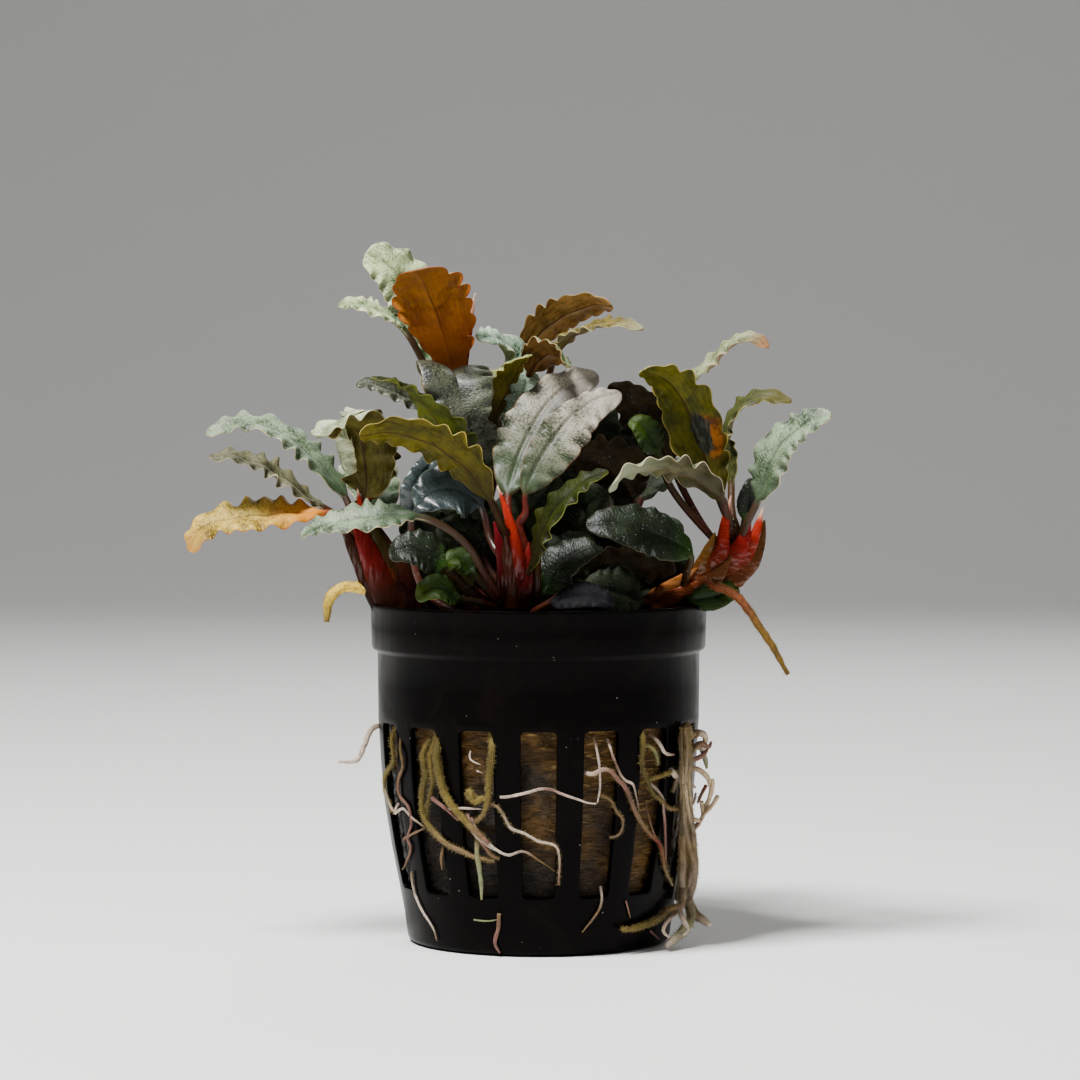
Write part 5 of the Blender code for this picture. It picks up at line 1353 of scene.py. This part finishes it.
def pot_material(settings):
    """Moulded black plastic: upright flow marks, fine scratches, a little dust, and reddish brown patches that
    are partly dried water marks and partly a painted sheen.
    """
    s = Shading("pot_plastic")
    where = s.place()
    flow = s.noise(s.stretched(where, 1.0, 1.0, 0.06), 0.9, 3.0)
    water_mark_and_sheen = s.step(s.noise(where, 0.16, 4.0, 0.6, 0.8), 0.5, 0.72)
    scratch = s.step(s.noise(s.stretched(where, 0.35, 0.35, 5.0), 1.4, 2.0, 0.7), 0.68, 0.74)
    dust = 1 - s.step(s.cells(where, 0.62), 0.035, 0.06)
    dust = dust * s.step(s.noise(where, 0.21, 1.0), 0.52, 0.6)
    # Reddish brown patches: partly dried water marks, partly a painted sheen.
    colour = s.blend(water_mark_and_sheen * 0.45, tuple(settings.colour), (0.0060, 0.0032, 0.0026))
    colour = s.blend(scratch * 0.20, colour, (0.025, 0.020, 0.018))
    colour = s.blend(dust * 0.8, colour, (0.35, 0.33, 0.30))
    roughness = 0.24 + water_mark_and_sheen * 0.14 + flow * 0.10 + dust * 0.3
    height = flow * 0.035 + s.noise(where, 3.0, 2.0) * 0.010 + dust * 0.03 - scratch * 0.006
    return s.finish(colour, roughness, height, 0.6, Specular_IOR_Level=0.03)


def wool_material(settings):
    """Ochre mineral wool, soaked: soft matted wads, nearly black where it is wettest, which is towards the
    foot and the left, and wet ridges that catch the light."""
    s = Shading("mineral_wool")
    where = s.place()
    right = s.node("SeparateXYZ", values=[where], output=0)
    up = s.node("SeparateXYZ", values=[where], output=2)
    wad = s.noise(s.stretched(where, 0.5, 0.5, 0.9), 0.55, 4.0, 0.6, 0.8)
    mat = s.noise(s.stretched(where, 0.7, 0.7, 2.0), 1.1, 4.0, 0.65, 0.6)
    ridge = s.noise(s.stretched(where, 0.30, 0.30, 2.2), 1.2, 2.0, 0.5, 0.9)
    level = s.noise(where, 0.09, 2.0) + (up - 18.0) * 0.022 + right * 0.013
    colour = s.blend(s.step(level, 0.36, 0.72), tuple(settings.wet), tuple(settings.light))
    colour = s.shade((1 - s.step(wad, 0.40, 0.56)) * 0.75, colour, 0.30)
    colour = s.shade((1 - s.step(mat, 0.38, 0.52)) * 0.55, colour, 0.35)
    shine = s.step(ridge, 0.60, 0.68) * s.step(level, 0.50, 0.80)
    colour = s.blend(shine * 0.6, colour, (0.46, 0.28, 0.09))
    height = wad * 0.9 + mat * 0.5 + ridge * 0.5
    return s.finish(colour, 0.62 - shine * 0.3, height, 0.9, Specular_IOR_Level=0.3)


def wool_grid():
    """The plug: rings up its side, a rounded shoulder and a nearly level top, moved outwards by a sum of
    three fields of ripples, and a fourth on the top."""
    heights = np.linspace(FLOOR + 0.35, COLLAR_HEIGHT + 1.2, 110)
    side = np.minimum(wall_radius(heights), wall_radius(SLOT_TOP)) - WALL - 0.55
    side = side - 1.3 * (1 - ease(heights, FLOOR, FLOOR + 4))
    edge, top = side[-1], heights[-1]
    share = np.linspace(0, 1, 46)[1:-1]
    r = np.concatenate([side, edge * np.cos(share * np.pi / 2)])
    z = np.concatenate([heights, top + np.sin(np.minimum(share * 4, 1) * np.pi / 2)])
    angle = np.linspace(0, 2 * np.pi, 240, endpoint=False)
    grid = np.stack([r[:, None] * np.cos(angle), r[:, None] * np.sin(angle), z[:, None] + 0 * angle], axis=2)
    out = unit(grid - np.array([0, 0, 1.0]) * grid[:, :, 2:] * 0.999)
    on_top = ease(z, top, top + 0.8)[:, None, None]
    out = unit(out * (1 - on_top) + np.array([0, 0, 1.0]) * on_top)
    stretch = grid * np.array([1.0, 1.0, 2.4])
    rough = 0.38 * ripples(stretch, 5.0, 11) + 0.24 * ripples(stretch, 2.2, 12)
    rough = rough + 0.10 * ripples(stretch, 1.0, 13) + on_top[:, :, 0] * 0.5 * ripples(grid, 6.0, 14)
    return grid + out * (rough - 0.25 * (1 - on_top[:, :, 0]))[:, :, None]


WOOL_TOP = 45.9
TOP_FIBRES = 0.35
TOP_REACH = 21.5
FIBRE_ANGLES = (-7.5, 7.5)
FIBRE_HEIGHTS = (7.5, 33.5)
FIBRE_LENGTHS = (1.2, 4.2)


def fibre_grid(settings):
    """Loose fibres: short bowed hairs that lie on the plug's side behind the slots and on its top, each along
    s from -1/2 to 1/2: start + length s level + bow (1 - 4 s^2) sway, lifted in the middle."""
    random = np.random.default_rng(21)
    count = settings.fibres
    on_top = random.uniform(size=count) < TOP_FIBRES
    slot = random.integers(0, SLOTS, count) * SLOT_PITCH
    angle = np.radians(slot + random.uniform(*FIBRE_ANGLES, count) - 90)
    height = random.uniform(*FIBRE_HEIGHTS, count)
    radius = np.sqrt(random.uniform(0, 1, count)) * TOP_REACH
    around = random.uniform(0, 2 * np.pi, count)
    side_radius = wall_radius(height) - WALL - 0.6
    start = np.where(
        on_top[:, None],
        np.stack([radius * np.cos(around), radius * np.sin(around), np.full(count, WOOL_TOP)], axis=1),
        np.stack([side_radius * np.cos(angle), side_radius * np.sin(angle), height], axis=1))
    out = np.where(on_top[:, None], [0, 0, 1.0], unit(start * [1, 1, 0]))
    lean = random.normal(size=(count, 3)) * [0.3, 0.3, 1] + [0, 0, 0.8] * ~on_top[:, None]
    level = unit(np.cross(out, lean))
    level = np.where(on_top[:, None], level, unit(level * [1, 1, 0.35]))
    length = random.uniform(*FIBRE_LENGTHS, count)[:, None]
    s = np.linspace(-0.5, 0.5, 6)[None, :, None]
    bow = random.uniform(-0.5, 0.5, (count, 1, 1))
    sway = np.cross(out, level)
    line = start[:, None] + level[:, None] * s * length[:, None] + sway[:, None] * bow * (1 - 4 * s**2)
    line = line + out[:, None] * (0.18 - 0.9 * s**2 + random.uniform(-0.1, 0.12, (count, 1, 1)))
    thick = settings.fibre_width / MM / 2 * random.uniform(0.6, 1.4, (count, 1, 1, 1))
    return threads(line, out, sway, thick)


def hairs_mesh(name, grid):
    """A mesh of many equal tubes from an array (tubes, rows, sides, 3)."""
    count, rows, sides, _ = grid.shape
    one = closed_faces(rows, sides)
    quads, caps = np.array(one[:-2]), np.array(one[-2:])
    first = (np.arange(count) * rows * sides)[:, None, None]
    faces = (quads[None] + first).reshape(-1, 4).tolist() + (caps[None] + first).reshape(-1, sides).tolist()
    mesh = bpy.data.meshes.new(name)
    mesh.from_pydata((grid.reshape(-1, 3) * MM).tolist(), [], faces)
    return mesh


def root_material():
    """Roots in the colours of their own stretches, darker in small flecks, with a lumpy, downy skin."""
    s = Shading("root_pale")
    tint = s.attribute("root_tint")
    along, girth, turn = s.numbers("root_place")
    where = s.place()
    grain = s.noise(where, 2.6, 3.0, 0.6)
    fibre = s.noise(s.vector(along * 0.35, turn * 2.2, girth), 1.6, 3.0, 0.6)
    colour = s.shade(s.step(s.noise(where, 0.5, 2.0), 0.48, 0.66) * 0.55, tint, 0.48)
    colour = s.shade((1 - s.step(grain, 0.36, 0.50)) * 0.6, colour, 0.42)
    colour = s.shade(s.step(fibre, 0.50, 0.62) * 0.45, colour, 0.50)
    height = grain * 0.16 + fibre * 0.10 + s.noise(where, 9.0, 2.0) * 0.04
    return s.finish(colour, 0.50 + grain * 0.25, height, 1.0, Subsurface_Weight=0.10, Subsurface_Scale=0.0006,
                    Specular_IOR_Level=0.25)


def down_material(settings):
    """The roots' fine hairs, lighter here and there."""
    s = Shading("root_down")
    patch = s.noise(s.place(), 0.8, 2.0)
    colour = s.shade(s.step(patch, 0.40, 0.60), (*settings.down, 1.0), 0.55)
    return s.finish(colour, 0.75 + patch * 0.1, patch * 0.02, 0.2, Specular_IOR_Level=0.2)


ROOT_GAP = 0.06
ROOT_START = -1.3
ROOT_TAPER = np.array([1.0, 1.0, 0.95, 0.85, 0.45])
THICK_ROOT = 0.35


def on_wall(route, radius):
    """Points outside the pot's wall, from (degrees from the front, height) pairs. A route that starts in a
    slot starts inside the wool."""
    degrees, height = np.array(route, float).T
    off = np.full(len(degrees), radius + ROOT_GAP)
    from_slot = (degrees[0] + SLOT_PITCH / 2) % SLOT_PITCH - SLOT_PITCH / 2
    if abs(from_slot) < 6.4 and SLOT_BOTTOM + 1 < height[0] < SLOT_TOP + 1:
        off[0] = ROOT_START
    return wall_points(degrees, height, wall_radius(height) + off)


def add_root(skin, line, radii, tints, seed, sides=10):
    """A root: a tube along its line, with radius times 1 + ripples, and all drawn aside by a slow wander."""
    line = smooth_path(line, 400)
    total = lengths(line)[-1]
    rows = max(12, int(total / 0.3))
    grid, share = tube_grid(line, radii, sides, rows)
    middle = grid.mean(axis=1, keepdims=True)
    lumps = 1 + 0.22 * ripples(grid, 1.3, seed)[:, :, None]
    wander = np.stack([ripples(middle, 4.0, seed + k) for k in (1, 2, 3)], axis=2) * 0.10
    grid = middle + wander + (grid - middle) * lumps
    turn = np.linspace(0, 2 * np.pi, sides, endpoint=False)[None] + seed
    flat = np.ones((rows, sides))
    values = np.stack([share[:, None] * total * flat, radii[0] * flat, turn * flat], axis=2)
    colours = rows_at(np.array([ROOT_TINTS[tint] for tint in tints.split()]), share)
    skin.add(grid, root_place=values, root_tint=colours[:, None].repeat(sides, axis=1))
    return grid


def trunk_strands():
    """The strands of the thick bundle on the right: lines wound a little round its middle line."""
    line = smooth_path(on_wall(TRUNK_ROUTE, max(TRUNK_RADII)), 60)
    share = np.linspace(0, 1, 60)
    radius = np.interp(share, np.linspace(0, 1, len(TRUNK_RADII)), TRUNK_RADII)[:, None]
    along = unit(np.gradient(line, axis=0))
    across = unit(np.cross(along, (0.0, 1.0, 0.0)))
    up = np.cross(across, along)
    strands = []
    for i in range(TRUNK_STRANDS):
        angle = (2.4 * i + 1.4 * share + 0.6 * np.sin(9 * share + i))[:, None]
        out = radius * (0.70 + 0.25 * np.sin(7 * share + 2 * i)[:, None])
        strands.append(line + (np.cos(angle) * across + np.sin(angle) * up) * out)
    return strands


HAIR_RADIUS = 0.026
HAIR_LENGTHS = (0.12, 0.45)


def hair_grid(grids, count, seed):
    """Root hairs: short tapered spikes that stand out of the roots' skins at seeded places."""
    random = np.random.default_rng(seed)
    feet, out = [], []
    for grid in grids:
        middle = grid.mean(axis=1, keepdims=True)
        feet.append(grid.reshape(-1, 3))
        out.append(unit(grid - middle).reshape(-1, 3))
    feet, out = np.concatenate(feet), np.concatenate(out)
    pick = random.integers(0, len(feet), count)
    feet, out = feet[pick], unit(out[pick] + random.normal(size=(count, 3)) * 0.35)
    across = unit(np.cross(out, random.normal(size=(count, 3))))
    length = random.uniform(*HAIR_LENGTHS, (count, 1, 1))
    s = np.linspace(0, 1, 2)[None, :, None]
    line = feet[:, None] + out[:, None] * s * length
    return threads(line, across, np.cross(out, across), (HAIR_RADIUS * (1 - 0.8 * s))[:, :, None])


class AddLeaves(bpy.types.Operator):
    """Adds every leaf, blade and stalk in one piece, on its crown"""

    bl_idname = "plant.add_leaves"
    bl_label = "Leaves"

    def execute(self, context):
        settings = context.scene.plant_leaves
        materials = {name: leaf_material(name, look, settings) for name, look in LOOKS.items()}
        for name, form in {**LEAVES, **YOUNG_LEAVES}.items():
            skin = Skin("leaf_place", "leaf_span")
            grid, place, span = leaf_grid(name, form, settings)
            skin.add(grid, leaf_place=place, leaf_span=span)
            if name in LEAVES:
                skin.build(name + "_blade", materials[form["look"]], [name])
            else:
                skin.build(name, materials[form["look"]])
        return {"FINISHED"}


class AddCrowns(bpy.types.Operator):
    """Adds the crowns and stems with the bases of their leaves"""

    bl_idname = "plant.add_crowns"
    bl_label = "Crowns"

    def execute(self, context):
        settings = context.scene.plant_crowns
        red = crown_material("crown_red", settings)
        stem = crown_material("crown_stem", settings, brown=0.9)
        creeping = crown_material("crown_creeping", settings, brown=0.5, creeping=True)
        for name, form in CROWNS.items():
            leaves = [leaf for leaf in [*LEAVES.values(), *YOUNG_LEAVES.values()] if leaf["crown"] == name]
            material = creeping if name == "rhizome_right" else stem if name.startswith("stem") else red
            add_crown(name, form, leaves, material, settings)
        return {"FINISHED"}


class AddNetPot(bpy.types.Operator):
    """Adds the slotted pot: a surface that gets its wall from a Solidify and its soft edges from a Bevel"""

    bl_idname = "plant.add_net_pot"
    bl_label = "Net Pot"

    def execute(self, context):
        settings = context.scene.plant_pot
        name = "net_pot_moulding"
        mesh = pot_mesh(name, settings.corner / MM)
        turn_outwards(mesh)
        pot = add_piece(name, mesh, pot_material(settings), ["net_pot"])
        wall = pot.modifiers.new("Wall", "SOLIDIFY")
        wall.thickness = settings.wall
        wall.offset = -1.0
        edges = pot.modifiers.new("Edges", "BEVEL")
        edges.width = EDGE_RADIUS * MM
        edges.segments = 2
        edges.limit_method = "ANGLE"
        edges.angle_limit = math.radians(EDGE_ANGLE)
        return {"FINISHED"}


class AddWool(bpy.types.Operator):
    """Adds the plug of mineral wool and its loose fibres"""

    bl_idname = "plant.add_wool"
    bl_label = "Mineral Wool"

    def execute(self, context):
        settings = context.scene.plant_wool
        material = wool_material(settings)
        plug = Skin()
        plug.add(wool_grid())
        plug.build("growing_medium_plug", material, ["growing_medium"])
        fibres = hairs_mesh("growing_medium_fibres", fibre_grid(settings))
        add_piece("growing_medium_fibres", fibres, material)
        return {"FINISHED"}


class AddRoots(bpy.types.Operator):
    """Adds the thick roots, the thin ones round the pot, and their hairs"""

    bl_idname = "plant.add_roots"
    bl_label = "Roots"

    def execute(self, context):
        settings = context.scene.plant_roots
        material = root_material()
        downy = []
        seed = 3
        pieces = {name + "_skin": strands for name, strands in ROOTS.items()}
        pieces["rootlets"] = ROOTLETS
        for name, strands in pieces.items():
            skin = Skin("root_place", "root_tint")
            for tints, radius, route in strands:
                seed += SEED_STEP
                points = on_wall(route, radius) if len(route[0]) == 2 else route
                sides = 10 if radius > THICK_ROOT else 7
                grid = add_root(skin, points, ROOT_TAPER * radius, tints, seed, sides)
                if any(tint in tints for tint in DOWNY_TINTS):
                    downy.append(grid)
            if name == "root_right_bundle_skin":
                for line in trunk_strands():
                    seed += SEED_STEP
                    downy.append(add_root(skin, line, STRAND_RADII, STRAND_TINTS, seed))
            replaced = [] if name == "rootlets" else [name[:-len("_skin")]]
            skin.build(name, material, replaced)
        hairs = hairs_mesh("root_hairs", hair_grid(downy, settings.hairs, 5))
        add_piece("root_hairs", hairs, down_material(settings))
        return {"FINISHED"}


LIT_POINT = (0.0, 0.0, 0.055)
BACK_SHARE = 1.6


class AddStage(bpy.types.Operator):
    """Adds the camera, the floor that rises into a backdrop, and soft light"""

    bl_idname = "plant.add_stage"
    bl_label = "Stage"

    def execute(self, context):
        settings = context.scene.plant_stage
        self.add_camera(context, settings)
        self.add_floor(settings)
        self.add_light("key_light", (-0.20, -0.21, 0.64), 0.17, settings.key)
        self.add_light("fill_light", (0.65, -0.45, 0.30), 0.50, settings.fill)
        self.add_light("back_light", (0.15, 0.55, 0.50), 0.35, BACK_SHARE * settings.fill)
        world = bpy.data.worlds.new("room")
        context.scene.world = world
        world.use_nodes = True
        room = world.node_tree.nodes["Background"]
        room.inputs["Color"].default_value = (0.95, 0.97, 1.0, 1.0)
        room.inputs["Strength"].default_value = settings.sky
        return {"FINISHED"}

    def add_light(self, name, place, size, power):
        """A square light that looks at the plant's foot."""
        light = bpy.data.lights.new(name, "AREA")
        light.energy = power
        light.size = size
        lamp = show(name, light)
        lamp.location = place
        aim = Vector(np.array(LIT_POINT) - np.array(place))
        lamp.rotation_euler = aim.to_track_quat("-Z", "Y").to_euler()

    def add_camera(self, context, settings):
        data = bpy.data.cameras.new("camera")
        data.sensor_width = 36.0
        data.lens = data.sensor_width / 2 / math.tan(settings.field / 2)
        data.clip_start = 0.01
        camera = show("camera", data)
        camera.location = (0.0002, -settings.distance, settings.height)
        camera.rotation_euler = (math.pi / 2 - settings.tilt, 0.0, 0.0)
        context.scene.camera = camera

    def add_floor(self, settings):
        """A strip 6 m wide: level from front to back, then a quarter circle of 0.8 m radius up to a wall."""
        turn = np.linspace(0, math.pi / 2, 24)
        y = np.concatenate([[-4.0, -1.0, 0.0, 0.6], 0.9 + 0.8 * np.sin(turn), [1.7]])
        z = np.concatenate([[0, 0, 0, 0], 0.8 * (1 - np.cos(turn)), [4.0]])
        x = np.linspace(-3.0, 3.0, 9)
        grid = np.stack(np.broadcast_arrays(x, y[:, None], z[:, None]), axis=2)
        rows = np.arange(len(y) - 1)[:, None] * len(x)
        faces = (rows + np.arange(len(x) - 1))[:, :, None] + np.array([0, 1, len(x) + 1, len(x)])
        mesh = bpy.data.meshes.new("floor")
        mesh.from_pydata(grid.reshape(-1, 3).tolist(), [], faces.reshape(-1, 4).tolist())
        mesh.shade_smooth()
        s = Shading("floor_paper")
        tooth = s.noise(s.place(), 0.8, 3.0)
        base = tuple(settings.floor)
        colour = s.blend(tooth * 0.25, base, tuple(0.94 * value for value in base))
        mesh.materials.append(s.finish(colour, 0.75 + tooth * 0.1, tooth * 0.02, 0.3))
        floor = show("floor", mesh)


class PlantPanel(bpy.types.Panel):
    """Lists the pieces of the plant, with their sizes and colours"""

    bl_idname = "VIEW3D_PT_plant"
    bl_label = "Bucephalandra"
    bl_space_type = "VIEW_3D"
    bl_region_type = "UI"
    bl_category = "Plant"

    def draw(self, context):
        for operator, key, group in PIECES:
            box = self.layout.box()
            box.operator(operator.bl_idname)
            for name in group.__annotations__:
                box.prop(getattr(context.scene, key), name)


PIECES = [
    (AddStage, "plant_stage", StageSettings),
    (AddNetPot, "plant_pot", PotSettings),
    (AddWool, "plant_wool", WoolSettings),
    (AddCrowns, "plant_crowns", CrownSettings),
    (AddLeaves, "plant_leaves", LeafSettings),
    (AddRoots, "plant_roots", RootSettings),
]


def register():
    for operator, key, group in PIECES:
        bpy.utils.register_class(group)
        bpy.utils.register_class(operator)
        setattr(bpy.types.Scene, key, PointerProperty(type=group))
    bpy.utils.register_class(PlantPanel)


def unregister():
    bpy.utils.unregister_class(PlantPanel)
    for operator, key, group in reversed(PIECES):
        delattr(bpy.types.Scene, key)
        bpy.utils.unregister_class(operator)
        bpy.utils.unregister_class(group)


def main():
    for thing in list(bpy.data.objects):
        if thing.name in ("Cube", "Light", "Camera"):
            bpy.data.objects.remove(thing, do_unlink=True)
    register()
    bpy.ops.plant.add_stage()
    bpy.ops.plant.add_net_pot()
    bpy.ops.plant.add_wool()
    bpy.ops.plant.add_crowns()
    bpy.ops.plant.add_leaves()
    bpy.ops.plant.add_roots()


if __name__ == "__main__":
    main()
